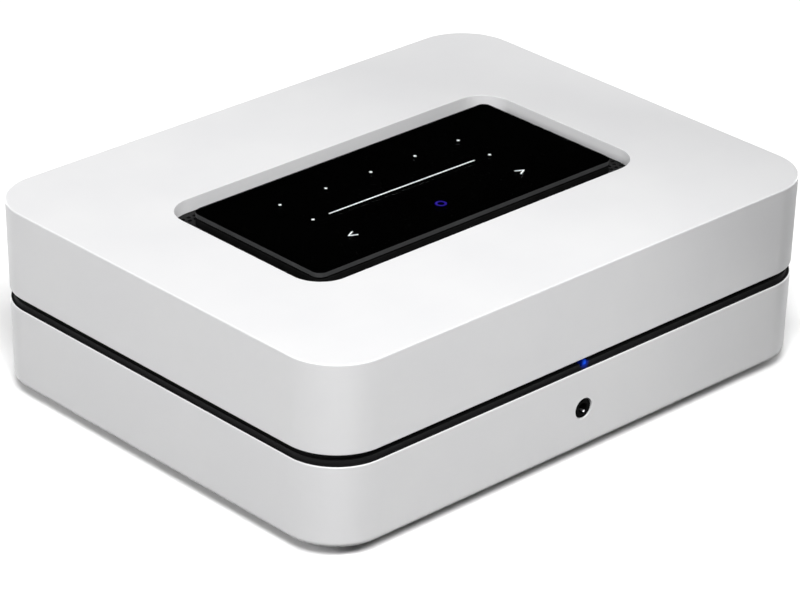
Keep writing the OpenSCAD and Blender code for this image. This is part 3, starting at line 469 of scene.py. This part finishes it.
def makeBandBlackPaintedGlow():    # the band's own black, with a painted glow where the light pipe's light spills on it
    material = softBlack.copy()
    material.name = "bandBlackPaintedGlow"
    tree = material.node_tree
    shader = tree.nodes["Principled BSDF"]
    shader.inputs["Emission Strength"].default_value = 1
    # painted glow: emission on the band, strongest beside the light pipe and gone at the given reach
    spill = blendColour(tree, fallOff(tree, lightCentre, glow["paintedSpillReach"]), glow["spill"], (0, 0, 0))
    join(tree, spill, shader.inputs["Emission Color"])
    return material


def makeBoard():    # solder mask over copper tracks, tinned pads
    material, tree, shader = newFinish("boardGreen", Roughness=0.35)
    wiring = placeGroup(tree, tracks, Scale=260)
    skin = placeGroup(tree, grain, Scale=2000, Mottle_Scale=120)
    mask = put(tree, "ShaderNodeMix", data_type="RGBA")
    join(tree, wiring.outputs["Tracks"], mask.inputs["Factor"])
    mask.inputs[6].default_value = (0.006, 0.045, 0.018, 1)
    mask.inputs[7].default_value = (0.012, 0.085, 0.035, 1)
    pads = put(tree, "ShaderNodeMix", data_type="RGBA")
    join(tree, wiring.outputs["Pads"], pads.inputs["Factor"])
    join(tree, mask.outputs[2], pads.inputs[6])
    pads.inputs[7].default_value = (0.55, 0.55, 0.52, 1)
    join(tree, pads.outputs[2], shader.inputs["Base Color"])
    join(tree, wiring.outputs["Pads"], shader.inputs["Metallic"])
    join(tree, spread(tree, skin.outputs["Mottle"], 0.28, 0.4), shader.inputs["Roughness"])
    raised(tree, shader, wiring.outputs["Tracks"], 0.3, 0.03 * mm)
    return material


def makeBanded(name, group, scale, low, high, rough, metal):
    material, tree, shader = newFinish(name, Roughness=rough, Metallic=metal)
    rows = placeGroup(tree, group, Scale=scale)
    skin = placeGroup(tree, grain, Scale=1500, Mottle_Scale=200)
    join(tree, blendColour(tree, rows.outputs["Height"], low, high), shader.inputs["Base Color"])
    join(tree, spread(tree, skin.outputs["Mottle"], rough - 0.05, rough + 0.05), shader.inputs["Roughness"])
    raised(tree, shader, rows.outputs["Height"], 0.5, 0.1 * mm)
    return material


lightLo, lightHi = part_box("light_pipe")
lightCentre = (lightLo + lightHi) / 2
# the last two entries give the painted glow laid on the band round the light pipe, standing in for its light
# falling there
glow = {"right": 0.6 * mm, "down": 0.1 * mm, "core": (0.013, 0.085, 0.8), "rim": (0, 0.003, 0.06),
        "reach": 1.7 * mm, "spill": (0.002, 0.022, 0.36), "paintedSpillReach": 2.5 * mm}
lightCentre += Vector((glow["right"], lightLo.y - lightCentre.y, -glow["down"]))
printBlack = makePrintBlack()
clearGlass = makeClearGlass()
litWhite = makeLit("litWhite", (0.86, 0.88, 0.9), 1.0, (1, 1, 1))
litBlue = makeLit("litBlue", (0.008, 0.001, 0.16), 1.0, (0.02, 0.006, 0.30))
lensBlue = makeLens()
# black band material carrying the painted glow of the light pipe
bandBlackPaintedGlow = makeBandBlackPaintedGlow()
boardGreen = makeBoard()
ribbonAmber = makeBanded("ribbonAmber", bandsX, 320, (0.42, 0.16, 0.03), (0.55, 0.25, 0.06), 0.35, 0.0)
copperWinding = makeBanded("copperWinding", bandsZ, 420, (0.30, 0.09, 0.03), (0.72, 0.30, 0.13), 0.3, 1.0)

slotFinish = {
    "white": satinWhite, "dark_band": softBlack, "black_sheet": powderBlack, "mesh": meshBlack,
    "rubber": rubberBlack, "screw_steel": zincSteel, "black_glass": clearGlass, "sensor_film": printBlack,
    "blue_light": lensBlue, "socket_black": mouldBlack, "socket_metal": tinPlate,
    "terminal_metal": nickelTurned, "terminal_red": capRed, "terminal_black": capBlack,
    "board": boardGreen, "ribbon": ribbonAmber, "lead": leadSleeve, "sink": sinkBlack,
    "core": ferriteCore, "can": canSleeve, "winding": copperWinding,
}
for part in frame["record"]["subparts"]:
    mesh = nodes[part["node"]].data
    mesh.materials.clear()
    mesh.materials.append(slotFinish[part["material_slot"]])
print("finishes:", len(slotFinish))


# The two white shells

shellLo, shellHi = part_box("upper_shell")
lowerLo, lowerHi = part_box("lower_shell")
glassLo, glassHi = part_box("touch_glass")
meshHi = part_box("vent_mesh")[1]
midY = (shellLo.y + shellHi.y) / 2
topZ = shellHi.z
case = {
    "width": 220 * mm, "depth": 171 * mm, "corner": 20 * mm, "lean": 1.1, "wall": 2.4 * mm,
    "gap": 4.2 * mm, "gapLift": 0.38 * mm, "topWall": 3 * mm, "topRound": 0.5 * mm, "gapRound": 0.35 * mm,
    "baseRound": 2.0 * mm, "cornerSteps": 28, "roundSteps": 5, "land": 0.3 * mm, "soften": 0.25 * mm,
}
recess = {"gap": 7.2 * mm, "corner": 11.2 * mm, "wall": 2 * mm, "steps": 20}
rearOpening = {"width": 172 * mm, "sill": 6.5 * mm, "head": 10 * mm, "reach": 30 * mm, "corner": 0.2 * mm}
plateSeat = {"rise": 2 * mm, "thick": 2.5 * mm, "flange": 7 * mm, "seat": 1 * mm}
jackHole = {"radius": 3.6 * mm, "reach": 12 * mm}
# thin black sheet on the lower shell's rim: painted shade for the ledge that the upper shell shades
bandFoot = {"back": 0.42 * mm, "thick": 0.12 * mm, "sunk": 0.05 * mm}
gapLow = lowerHi.z + case["gapLift"]
gapTop = gapLow + case["gap"]
past = 5 * mm    # how far a cutter runs past what it opens


def leaned(z):    # how far the side stands in at a height
    return (topZ - z) * math.tan(math.radians(case["lean"]))


def leaningBlock(name, low, high, lowRound, highRound):
    side = high - highRound
    inset = leaned(side)
    piece = startPlate(name, case["width"] - 2 * inset, case["depth"] - 2 * inset, case["corner"] - inset,
                       (0, midY, side), case["cornerSteps"])
    roundOver(highRound, case["roundSteps"])
    stepIn(case["land"], 0)
    pick(piece, "EDGE", lambda edge: edge.is_boundary)
    bpy.ops.mesh.edge_face_add()
    pick(piece, "FACE", lambda face: len(face.verts) > 4 and face.calc_center_median().z < side + 1e-6)
    stepIn(leaned(low + lowRound) - inset, low + lowRound - side)
    roundOver(lowRound, case["roundSteps"], up=-1)
    stepIn(case["land"], 0)
    closeUp(piece)
    return piece


def cavity(name, inward, low, high):
    inset = leaned(lowerLo.z) + case["wall"] + inward
    return block(name, case["width"] - 2 * inset, case["depth"] - 2 * inset, case["corner"] - inset,
                 (0, midY, low), high - low)


def rearCutter():
    low, high = lowerLo.z + rearOpening["sill"], topZ - rearOpening["head"]
    return block("rearCutter", rearOpening["width"], rearOpening["reach"], rearOpening["corner"],
                 (0, shellHi.y, low), high - low, steps=2)


recessWidth = glassHi.x - glassLo.x + 2 * recess["gap"]
recessDepth = glassHi.y - glassLo.y + 2 * recess["gap"]


def recessBlock(name, outward, low, high):
    return block(name, recessWidth + 2 * outward, recessDepth + 2 * outward, recess["corner"] + outward,
                 (0, midY, low), high - low, recess["steps"])


def makeUpperShell():
    piece = leaningBlock("upperShell", gapTop, topZ, case["gapRound"], case["topRound"])
    combine(piece, cavity("upperCavity", 0, gapTop - past, topZ - case["topWall"]))
    combine(piece, recessBlock("recessWall", recess["wall"], meshHi.z, topZ - case["topWall"] / 2), "UNION")
    combine(piece, recessBlock("recessPocket", 0, meshHi.z - past, topZ + past))
    combine(piece, rearCutter())
    return finishPiece(piece, satinWhite, ["upper_shell"], soften=case["soften"])


def makeLowerShell():
    seatTop = lowerLo.z + plateSeat["rise"]
    piece = leaningBlock("lowerShell", lowerLo.z, gapLow, case["baseRound"], case["gapRound"])
    combine(piece, cavity("lowerCavity", 0, seatTop + plateSeat["thick"], lowerHi.z + past))
    combine(piece, cavity("baseOpening", plateSeat["flange"], lowerLo.z - past, lowerHi.z))
    combine(piece, cavity("plateSeat", plateSeat["seat"], lowerLo.z - past, seatTop))
    combine(piece, rearCutter())
    jack = Vector((0, lowerLo.y, middle("headphone_socket").z))
    combine(piece, rod("jackDrill", jackHole["radius"], jackHole["reach"], jack, (math.radians(90), 0, 0)))
    return finishPiece(piece, satinWhite, ["lower_shell"], soften=case["soften"])


def makeBandFootPaintedShade():    # a thin black foot of the band lying on the lower shell's rim, put there as painted shade for the ledge under the upper shell's overhang
    inset = leaned(gapLow) + bandFoot["back"]
    piece = block("bandFoot", case["width"] - 2 * inset, case["depth"] - 2 * inset, case["corner"] - inset,
                  (0, midY, gapLow - bandFoot["sunk"]), bandFoot["sunk"] + bandFoot["thick"],
                  case["cornerSteps"])
    combine(piece, cavity("footHollow", 0, gapLow - past, gapLow + past))
    combine(piece, rearCutter())
    return finishPiece(piece, bandBlackPaintedGlow)


makeUpperShell()
makeLowerShell()
makeBandFootPaintedShade()
print("shells done")


# The touch glass: clear sheet, black print under it, lit marks between the two

cover = {"bevel": 0.5 * mm, "underBevel": 0.15 * mm, "corner": 3.3 * mm, "printed": 1.9 * mm,
         "land": 0.4 * mm, "steps": 12}
film = {"corner": 1.8 * mm, "drop": 0.1 * mm, "rim": 0.05 * mm, "steps": 6}
carrier = {"wall": 1.2 * mm, "soften": 0.15 * mm}
marks = {
    "thick": 0.05 * mm, "left": 1.0, "skew": 0.018, "dot": 0.56 * mm,
    "presets": [-39.5, -19.75, 0, 19.75, 39.5], "presetY": 15.6, "volumeX": 39.1, "volumeY": 0.3,
    "line": 64.6 * mm, "lineWidth": 0.5 * mm,
    "arrowX": 37.2, "arrowY": -16.1, "arm": 3.5 * mm, "stroke": 0.52 * mm, "spread": 27,
    "ringY": -17.5, "ring": 2.0 * mm, "ringStroke": 0.85 * mm,
}
markZ = glassLo.z - 1.5 * marks["thick"]


def markPlace(x, y):    # in millimetres from the middle of the glass
    across, along = x - marks["left"] - marks["skew"] * y, y - marks["skew"] * x
    return Vector((across * mm, midY + along * mm, markZ))


def makeCover():
    size = glassHi - glassLo
    sideLow = glassLo.z + cover["underBevel"]
    piece = startPlate("coverGlass", size.x, size.y, cover["corner"], (0, midY, sideLow), cover["steps"])
    pull(size.z - cover["underBevel"] - cover["bevel"])
    stepIn(cover["bevel"], cover["bevel"])
    stepIn(cover["land"], 0)
    pick(piece, "FACE", lambda face: len(face.verts) > 4 and face.calc_center_median().z < sideLow + 1e-6)
    stepIn(cover["underBevel"], -cover["underBevel"])
    stepIn(cover["printed"], 0)
    closeUp(piece)
    finishPiece(piece, clearGlass, ["touch_glass"], angle=20)
    border = {    # ground sides, and ink on the rim above and below
        groundEdge: lambda face: abs(face.normal.z) < 0.5,
        printBlack: lambda face: len(face.verts) == 4 and (face.normal.z < -0.5 or 0.5 < face.normal.z < 0.9),
    }
    for number, (finish, wanted) in enumerate(border.items()):
        piece.data.materials.append(finish)
        edit(piece)
        pick(piece, "FACE", wanted)
        piece.active_material_index = number + 1
        bpy.ops.object.material_slot_assign()
    only(piece)


def makeFilm():
    lo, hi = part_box("touch_sensor")
    piece = startPlate("inkFilm", hi.x - lo.x, hi.y - lo.y, film["corner"], (0, midY, lo.z), film["steps"])
    pull(hi.z - lo.z - film["drop"] - film["rim"])
    stepIn(film["rim"], film["rim"])
    closeUp(piece)
    return finishPiece(piece, printBlack, ["touch_sensor"])


def makeCarrier():    # the black tray that holds the glass
    lo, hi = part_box("glass_carrier")
    size, wall = hi - lo, carrier["wall"]
    piece = block("glassCarrier", size.x, size.y, cover["corner"], (0, midY, lo.z), size.z)
    inner = block("carrierHollow", size.x - 2 * wall, size.y - 2 * wall, cover["corner"] - wall,
                  (0, midY, lo.z - past), size.z - wall + past)
    combine(piece, inner)
    return finishPiece(piece, matteBlack, ["glass_carrier"], soften=carrier["soften"])


def liftMark(piece):    # a thin wafer with a softened rim
    pull(0.6 * marks["thick"])
    stepIn(0.4 * marks["thick"], 0.4 * marks["thick"])
    closeUp(piece)


def makeDot(name, x, y):
    piece = disc(name, marks["dot"], markPlace(x, y), 24)
    liftMark(piece)
    finishPiece(piece, litWhite, angle=50)


def makeLine():
    spot = markPlace(0, marks["volumeY"])
    piece = startPlate("volumeLine", marks["line"], marks["lineWidth"], 0.45 * marks["lineWidth"], spot, 6)
    bpy.ops.transform.rotate(value=marks["skew"], orient_axis="Z", center_override=spot)
    liftMark(piece)
    finishPiece(piece, litWhite, angle=50)


def makeArrow(name, way):    # two arms that meet in a point
    tip = markPlace(way * marks["arrowX"], marks["arrowY"])
    tip.x += way * marks["arm"] * math.cos(math.radians(marks["spread"])) / 2
    arms = []
    for turn in (marks["spread"], -marks["spread"]):
        arm = startPlate(name, marks["arm"], marks["stroke"], 0.3 * marks["stroke"],
                         tip - Vector((way * (marks["arm"] - marks["stroke"]) / 2, 0, 0)), 4)
        bpy.ops.transform.rotate(value=math.radians(turn), orient_axis="Z", center_override=tip)
        liftMark(arm)
        arms.append(arm)
    combine(arms[0], arms[1], "UNION")
    finishPiece(arms[0], litWhite, angle=50)


def makeRing():    # the play mark
    piece = disc("playRing", marks["ring"], markPlace(0, marks["ringY"]), 48)
    bpy.ops.mesh.inset(thickness=marks["ringStroke"], depth=0, use_boundary=True, use_even_offset=True)
    bpy.ops.mesh.delete(type="FACE")
    bpy.ops.mesh.select_all(action="SELECT")
    liftMark(piece)
    finishPiece(piece, litBlue, angle=50)


makeCover()
makeFilm()
makeCarrier()
for number, x in enumerate(marks["presets"]):
    makeDot("presetDot%d" % (number + 1), x, marks["presetY"])
for name, way in (("Down", -1), ("Up", 1)):
    makeDot("volume" + name, way * marks["volumeX"], marks["volumeY"])
makeLine()
makeArrow("backArrow", -1)
makeArrow("nextArrow", 1)
makeRing()
print("glass and marks done")


# Edges of the sheet metal, mouldings and turned pieces, broken as on the real ones

brokenEdges = {
    "rear_panel": 0.2, "base_plate": 0.25, "mid_band": 0.15, "light_pipe": 0.5,
    "headphone_socket": 0.2, "line_in_socket": 0.25, "ir_in_socket": 0.25, "mains_inlet": 0.35,
    "lan_socket": 0.2, "usb_socket": 0.15, "hdmi_socket": 0.15, "socket_tongues": 0.15,
    "sub_out_barrel": 0.15, "sub_out_insulator": 0.25,
}
terminals = ["right_plus", "right_minus", "left_plus", "left_minus"]
for terminal in terminals:
    brokenEdges.update({"collar_" + terminal: 0.4, "washer_" + terminal: 0.2, "cap_" + terminal: 0.15})
bodyOf = {node: body for body, held in frame["record"]["behaviour"]["bodies"].items() for node in held}
slotOf = {part["node"]: part["material_slot"] for part in frame["record"]["subparts"]}
# the band gets its black with the painted glow; the headphone socket gets the black darkened as painted shade
ownFinish = {"mid_band": bandBlackPaintedGlow, "headphone_socket": jackBlackPaintedShade}


def spoken(node):    # rear_panel becomes rearPanel
    first, *rest = node.split("_")
    return first + "".join(word.title() for word in rest)


def breakEdges(node, width):
    piece = bpy.data.objects.new(spoken(node), nodes[node].data.copy())
    bpy.context.scene.collection.objects.link(piece)
    edit(piece)
    bpy.ops.mesh.select_all(action="SELECT")
    bpy.ops.mesh.remove_doubles(threshold=weld)
    bpy.ops.mesh.dissolve_limited(angle_limit=math.radians(0.5))
    only(piece)
    finish = ownFinish.get(node, slotFinish[slotOf[node]])
    finishPiece(piece, finish, [node], bodyOf[node], soften=width)


for node, width in brokenEdges.items():
    breakEdges(node, width * mm)
print("broken edges:", len(brokenEdges))


# Contacts in the sockets

network = {"count": 8, "pitch": 1.02 * mm, "width": 0.45 * mm, "thick": 0.3 * mm, "top": 2.4 * mm,
           "in": 2.2 * mm, "steps": [(-1.2, 0.0), (-1.0, -0.25), (-4.5, -2.3), (-1.2, -0.3)]}
usb = {"places": [-3.5, -1.0, 1.0, 3.5], "width": 1.0 * mm, "thick": 0.12 * mm, "from": 2.6 * mm,
       "length": 6.4 * mm, "under": 2.7 * mm}
video = {"pitch": 0.5 * mm, "width": 0.28 * mm, "thick": 0.08 * mm, "from": 2.4 * mm, "length": 6.0 * mm,
         "half": 0.55 * mm, "above": 10, "below": 9}
leaf = {"width": 0.75 * mm, "thick": 0.16 * mm, "out": 1.95 * mm, "in": 0.1 * mm, "turn": 26,
        "steps": [(0.05, 0.16), (0.12, 0.16), (0.3, 0.1), (0.6, 0.03),
                  (0.7, -0.03), (0.9, -0.1), (1.4, -0.14)]}


def row(first, pitch, count, name):    # copies of a contact along X
    pieces = [first]
    for k in range(1, count):
        pieces.append(copyTo(first, name + str(k + 1), (k * pitch, 0, 0)))
    for piece in pieces:
        finishPiece(piece, goldContact, angle=40)


def makeNetworkContacts():
    low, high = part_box("lan_socket")
    start = ((low.x + high.x - (network["count"] - 1) * network["pitch"]) / 2, high.y - network["in"],
             high.z - network["top"])
    first = drawn("networkContact1", start, network["width"], network["thick"],
                  [(along * mm, rise * mm) for along, rise in network["steps"]])
    row(first, network["pitch"], network["count"], "networkContact")


def makeUsbContacts():
    low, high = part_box("usb_socket")
    x = (low.x + high.x) / 2
    first = drawn("usbContact1", (x + usb["places"][0] * mm, high.y - usb["from"], high.z - usb["under"]),
                  usb["width"], usb["thick"], [(-0.3 * usb["length"], 0), (-0.7 * usb["length"], 0)])
    for number, along in enumerate(usb["places"][1:]):
        shift = (along - usb["places"][0]) * mm
        double = copyTo(first, "usbContact%d" % (number + 2), (shift, 0, 0))
        finishPiece(double, goldContact)
    finishPiece(first, goldContact)


def makeVideoContacts():
    low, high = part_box("hdmi_socket")
    for side, count, way in (("Upper", video["above"], 1), ("Lower", video["below"], -1)):
        start = ((low.x + high.x - (count - 1) * video["pitch"]) / 2, high.y - video["from"],
                 (low.z + high.z) / 2 + way * video["half"])
        name = "video" + side + "Contact"
        first = drawn(name + "1", start, video["width"], video["thick"],
                      [(-0.3 * video["length"], 0), (-0.7 * video["length"], 0)])
        row(first, video["pitch"], count, name)


def makeLeaf(node, way, turn):    # sprung contact inside a round socket, way 1 with its mouth at the back
    low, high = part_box(node)
    axis = (low + high) / 2
    mouth = high.y if way > 0 else low.y
    start = (axis.x, mouth - way * leaf["in"], axis.z - leaf["out"])
    piece = drawn(spoken(node) + "Leaf", start, leaf["width"], leaf["thick"],
                  [(-way * along * mm, rise * mm) for along, rise in leaf["steps"]])
    edit(piece)
    bpy.ops.mesh.select_all(action="SELECT")
    bpy.ops.transform.rotate(value=math.radians(turn), orient_axis="Y", center_override=axis)
    only(piece)
    finishPiece(piece, zincSteel, angle=60)


makeNetworkContacts()
makeUsbContacts()
makeVideoContacts()
makeLeaf("headphone_socket", -1, leaf["turn"])
makeLeaf("line_in_socket", 1, -leaf["turn"])
makeLeaf("ir_in_socket", 1, -leaf["turn"])
print("contacts done")


# Pins, threaded studs, feet and screws

pin = {"radius": 1.2 * mm, "tip": 0.9 * mm, "steps": 5, "pitch": 8.6 * mm}
stud = {"radius": 3 * mm, "bore": 2 * mm, "boreLong": 14 * mm, "wire": 1.2 * mm, "wireLong": 10 * mm,
        "wirePlace": 1.4 * mm, "pitch": 1 * mm, "threadFrom": 0.6 * mm, "steps": 32}
foot = {"radius": 9 * mm, "taper": 0.8 * mm, "round": 1 * mm, "cup": 4 * mm, "cupHigh": 2.6 * mm,
        "ridge": 0.35 * mm, "land": 0.4 * mm, "steps": 5, "sides": 72}
screw = {"shank": 1.5 * mm, "head": 3 * mm, "high": 1.8 * mm, "round": 1.1 * mm, "cross": 3.2 * mm,
         "slot": 0.75 * mm, "slotCorner": 0.1 * mm, "deep": 1.1 * mm, "narrow": 0.45, "bite": 0.5 * mm,
         "steps": 6, "sides": 40}


def makePins():
    low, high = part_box("inlet_pins")
    spot = Vector((low.x + pin["radius"], (low.y + high.y) / 2, (low.z + high.z) / 2))
    first = rod("inletPin1", pin["radius"], high.y - low.y, spot, (math.radians(90), 0, 0), 32)
    useModifier(first, "BEVEL", width=pin["tip"], segments=pin["steps"], limit_method="ANGLE",
                angle_limit=math.radians(40))
    second = copyTo(first, "inletPin2", (pin["pitch"], 0, 0))
    for piece in (first, second):
        finishPiece(piece, tinPlate, ["inlet_pins"], angle=40)


def threadCutter(axis, start, turns):    # a three-sided groove wound round Y
    only(None)
    bpy.ops.mesh.primitive_circle_add(vertices=3, radius=0.5 * stud["pitch"], location=(0, 0, 0))
    piece = bpy.context.object
    piece.name = "threadCutter"
    edit(piece, "VERT")
    bpy.ops.mesh.select_all(action="SELECT")
    bpy.ops.transform.rotate(value=math.radians(90), orient_axis="Z", center_override=(0, 0, 0))
    bpy.ops.transform.translate(value=(stud["radius"], 0, 0))
    only(piece)
    useModifier(piece, "SCREW", axis="Y", angle=math.radians(360), screw_offset=stud["pitch"],
                iterations=turns, steps=stud["steps"], render_steps=stud["steps"], use_merge_vertices=False)
    edit(piece)
    pick(piece, "EDGE", lambda edge: edge.is_boundary)
    bpy.ops.mesh.edge_face_add()
    bpy.ops.mesh.select_all(action="SELECT")
    bpy.ops.transform.translate(value=(axis.x, start, axis.z))
    closeUp(piece)
    return piece


def makeStuds():
    low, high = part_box("stud_" + terminals[0])
    axis = (low + high) / 2
    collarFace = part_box("collar_" + terminals[0])[1].y
    across = (math.radians(90), 0, 0)
    first = rod(spoken("stud_" + terminals[0]), stud["radius"], high.y - low.y, axis, across)
    turns = int((high.y - collarFace) / stud["pitch"])
    combine(first, threadCutter(axis, collarFace - stud["threadFrom"], turns))
    bore = (axis.x, high.y - stud["boreLong"] / 2 + past / 2, axis.z)
    combine(first, rod("plugBore", stud["bore"], stud["boreLong"] + past, bore, across))
    wire = (axis.x, collarFace + stud["wirePlace"], axis.z)
    combine(first, rod("wireHole", stud["wire"], stud["wireLong"], wire))
    for terminal in terminals[1:]:
        shift = middle("stud_" + terminal) - axis
        piece = copyTo(first, spoken("stud_" + terminal), shift)
        finishPiece(piece, nickelTurned, ["stud_" + terminal])
    finishPiece(first, nickelTurned, ["stud_" + terminals[0]])


def makeFeet():
    low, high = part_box("feet")
    x, y = high.x - foot["radius"], high.y - midY - foot["radius"]
    first = disc("foot1", foot["radius"], (-x, midY - y, high.z), foot["sides"])
    pull(-foot["ridge"])
    stepIn(foot["ridge"], -foot["ridge"])
    stepIn(foot["taper"] - foot["ridge"], foot["round"] + 2 * foot["ridge"] - high.z)
    roundOver(foot["round"], foot["steps"], up=-1)
    stepIn(foot["radius"] - foot["taper"] - foot["round"] - foot["cup"], 0)
    pull(foot["cupHigh"])
    stepIn(foot["land"], 0)
    closeUp(first)
    corners = [(2 * x, 0), (0, 2 * y), (2 * x, 2 * y)]
    for number, (across, along) in enumerate(corners):
        piece = copyTo(first, "foot%d" % (number + 2), (across, along, 0))
        finishPiece(piece, rubberBlack, ["feet"])
    finishPiece(first, rubberBlack, ["feet"])


def crossCutter(face):
    width, slot = screw["cross"], screw["slot"]
    bars = []
    for across, along in ((width, slot), (slot, width)):
        bar = block("crossBar", across, along, screw["slotCorner"], (face.x, face.y, face.z - screw["deep"]),
                    2 * screw["deep"], 2)
        edit(bar)
        pick(bar, "FACE", lambda side: side.normal.z > 0.9)
        bpy.ops.transform.resize(value=(screw["narrow"], screw["narrow"], 1), center_override=face)
        only(bar)
        bars.append(bar)
    combine(bars[0], bars[1], "UNION")
    return bars[0]


def makeScrews(node, name):    # pan heads with a cross, seen from below
    low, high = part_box(node)
    seat = Vector((low.x + screw["head"], low.y + screw["head"], low.z + screw["high"]))
    first = disc(name + "1", screw["head"], seat, screw["sides"])
    pull(screw["round"] - screw["high"])
    roundOver(screw["round"], screw["steps"], up=-1)
    closeUp(first)
    combine(first, crossCutter(Vector((seat.x, seat.y, low.z))))
    shank = rod("shank", screw["shank"], high.z - seat.z + screw["bite"],
                (seat.x, seat.y, (high.z + seat.z - screw["bite"]) / 2), sides=24)
    combine(first, shank, "UNION")
    x, y = high.x - low.x - 2 * screw["head"], high.y - low.y - 2 * screw["head"]
    for number, shift in enumerate([(x, 0, 0), (0, y, 0), (x, y, 0)]):
        finishPiece(copyTo(first, name + str(number + 2), shift), zincSteel, [node])
    finishPiece(first, zincSteel, [node])


makePins()
makeStuds()
makeFeet()
makeScrews("foot_screws", "footScrew")
makeScrews("case_screws", "caseScrew")
print("fittings done")


# Studio: a pale floor, far soft lamps, a black card and the photograph's viewpoint

floor = {"size": 14, "seen": 1.2, "bounce": 0.08}
world = {"backdrop": 1.0, "studio": 0.002, "horizon": 0.16, "below": 0.5, "lowFill": 0.11, "highFill": 0.06}
aim = Vector((0, -0.01, 0.03))
lamps = {
    "key": {"place": (-0.66, -0.74, 1.31), "size": 0.6, "power": 21.7},
    "front": {"place": (0.315, -1.05, 1.15), "size": 0.5, "power": 9.9},
    "side": {"place": (-1.5, 0.30, 0.85), "size": 0.5, "power": 10.5},
    "back": {"place": (0.1, 1.6, 0.14), "size": 0.2, "power": 10},
    "right": {"place": (1.6, 0.1, 0.14), "size": 0.2, "power": 10},
}
card = {"x": 0.137, "front": -0.30, "back": -0.111, "foot": 0.005, "height": 0.345, "thick": 0.004,
        "corner": 0.001}
view = {"place": (-0.78482, -0.83528, 0.59764), "turn": 43.49, "dip": 26.674, "roll": 0.98, "lens": 171.78}


def makeFloor():
    only(None)
    bpy.ops.mesh.primitive_plane_add(size=floor["size"], location=(0, 0, 0))
    piece = bpy.context.object
    piece.name = "floor"
    material = bpy.data.materials.new("paleFloor")
    material.use_nodes = True
    tree = material.node_tree
    tree.nodes.clear()
    path = put(tree, "ShaderNodeLightPath")
    seen = maths(tree, "MAXIMUM", path.outputs["Is Camera Ray"], path.outputs["Is Glossy Ray"])
    seen = maths(tree, "MAXIMUM", seen, path.outputs["Is Transmission Ray"])
    level = blendColour(tree, seen, (floor["bounce"],) * 3, (floor["seen"],) * 3)
    paint = put(tree, "ShaderNodeBsdfDiffuse")
    join(tree, level, paint.inputs["Color"])
    out = put(tree, "ShaderNodeOutputMaterial")
    join(tree, paint.outputs[0], out.inputs["Surface"])
    piece.data.materials.append(material)


def makeCard():    # keeps light off the right end of the front
    spot = (card["x"] + card["thick"] / 2, (card["front"] + card["back"]) / 2, card["foot"])
    piece = block("blackCard", card["thick"], card["back"] - card["front"], card["corner"], spot,
                  card["height"], steps=2)
    piece.data.materials.append(softBlack)
    piece.visible_camera = False    # out of the picture from every side


def makeWorld():
    scene = bpy.context.scene
    scene.world = bpy.data.worlds.new("studio")
    scene.world.use_nodes = True
    tree = scene.world.node_tree
    tree.nodes.clear()
    path = put(tree, "ShaderNodeLightPath")
    coords = put(tree, "ShaderNodeTexCoord")
    height = put(tree, "ShaderNodeSeparateXYZ")
    join(tree, coords.outputs["Generated"], height.inputs[0])
    above = put(tree, "ShaderNodeMapRange", interpolation_type="SMOOTHSTEP")
    above.inputs["From Min"].default_value = world["horizon"]
    above.inputs["From Max"].default_value = world["horizon"] * 2
    join(tree, height.outputs["Z"], above.inputs["Value"])
    mirrored = blendColour(tree, above.outputs["Result"], (world["backdrop"],) * 3, (world["studio"],) * 3)
    glossy = maths(tree, "MAXIMUM", path.outputs["Is Glossy Ray"], path.outputs["Is Transmission Ray"])
    soft = put(tree, "ShaderNodeMix", data_type="RGBA")
    join(tree, glossy, soft.inputs["Factor"])
    fill = put(tree, "ShaderNodeValToRGB")
    stops = {0.45: world["below"], 0.5: world["lowFill"], 0.8: world["highFill"]}
    for number, (stop, level) in enumerate(stops.items()):
        ramp = fill.color_ramp.elements
        entry = ramp[number] if number < len(ramp) else ramp.new(stop)
        entry.position, entry.color = stop, (level, level, level, 1)
    half = maths(tree, "MULTIPLY_ADD", height.outputs["Z"], 0.5)
    half.node.inputs[2].default_value = 0.5
    join(tree, half, fill.inputs["Fac"])
    join(tree, fill.outputs["Color"], soft.inputs[6])
    join(tree, mirrored, soft.inputs[7])
    seen = put(tree, "ShaderNodeMix", data_type="RGBA")
    join(tree, path.outputs["Is Camera Ray"], seen.inputs["Factor"])
    join(tree, soft.outputs[2], seen.inputs[6])
    seen.inputs[7].default_value = (*(world["backdrop"],) * 3, 1)
    sky = put(tree, "ShaderNodeBackground")
    join(tree, seen.outputs[2], sky.inputs["Color"])
    out = put(tree, "ShaderNodeOutputWorld")
    join(tree, sky.outputs[0], out.inputs["Surface"])


def makeLamps():
    for name, lamp in lamps.items():
        data = bpy.data.lights.new(name, "AREA")
        data.shape = "SQUARE"
        data.size = lamp["size"]
        data.energy = lamp["power"]
        piece = bpy.data.objects.new(name, data)
        bpy.context.scene.collection.objects.link(piece)
        piece.location = lamp["place"]
        away = aim - Vector(lamp["place"])
        piece.rotation_euler = away.to_track_quat("-Z", "Y").to_euler()


def makeCamera():
    data = bpy.data.cameras.new("photoView")
    data.sensor_width = 36
    data.lens = view["lens"]
    data.clip_start, data.clip_end = 0.01, 50
    camera = bpy.data.objects.new("photoView", data)
    bpy.context.scene.collection.objects.link(camera)
    turn, dip = math.radians(view["turn"]), math.radians(view["dip"])
    ahead = Vector((math.sin(turn) * math.cos(dip), math.cos(turn) * math.cos(dip), -math.sin(dip)))
    camera.location = view["place"]
    camera.rotation_mode = "QUATERNION"
    roll = Quaternion((0, 0, 1), math.radians(view["roll"]))
    camera.rotation_quaternion = ahead.to_track_quat("-Z", "Y") @ roll
    bpy.context.scene.camera = camera


makeFloor()
makeCard()
makeWorld()
makeLamps()
makeCamera()
bpy.context.scene.view_settings.view_transform = "Standard"
print("studio done")

only(None)
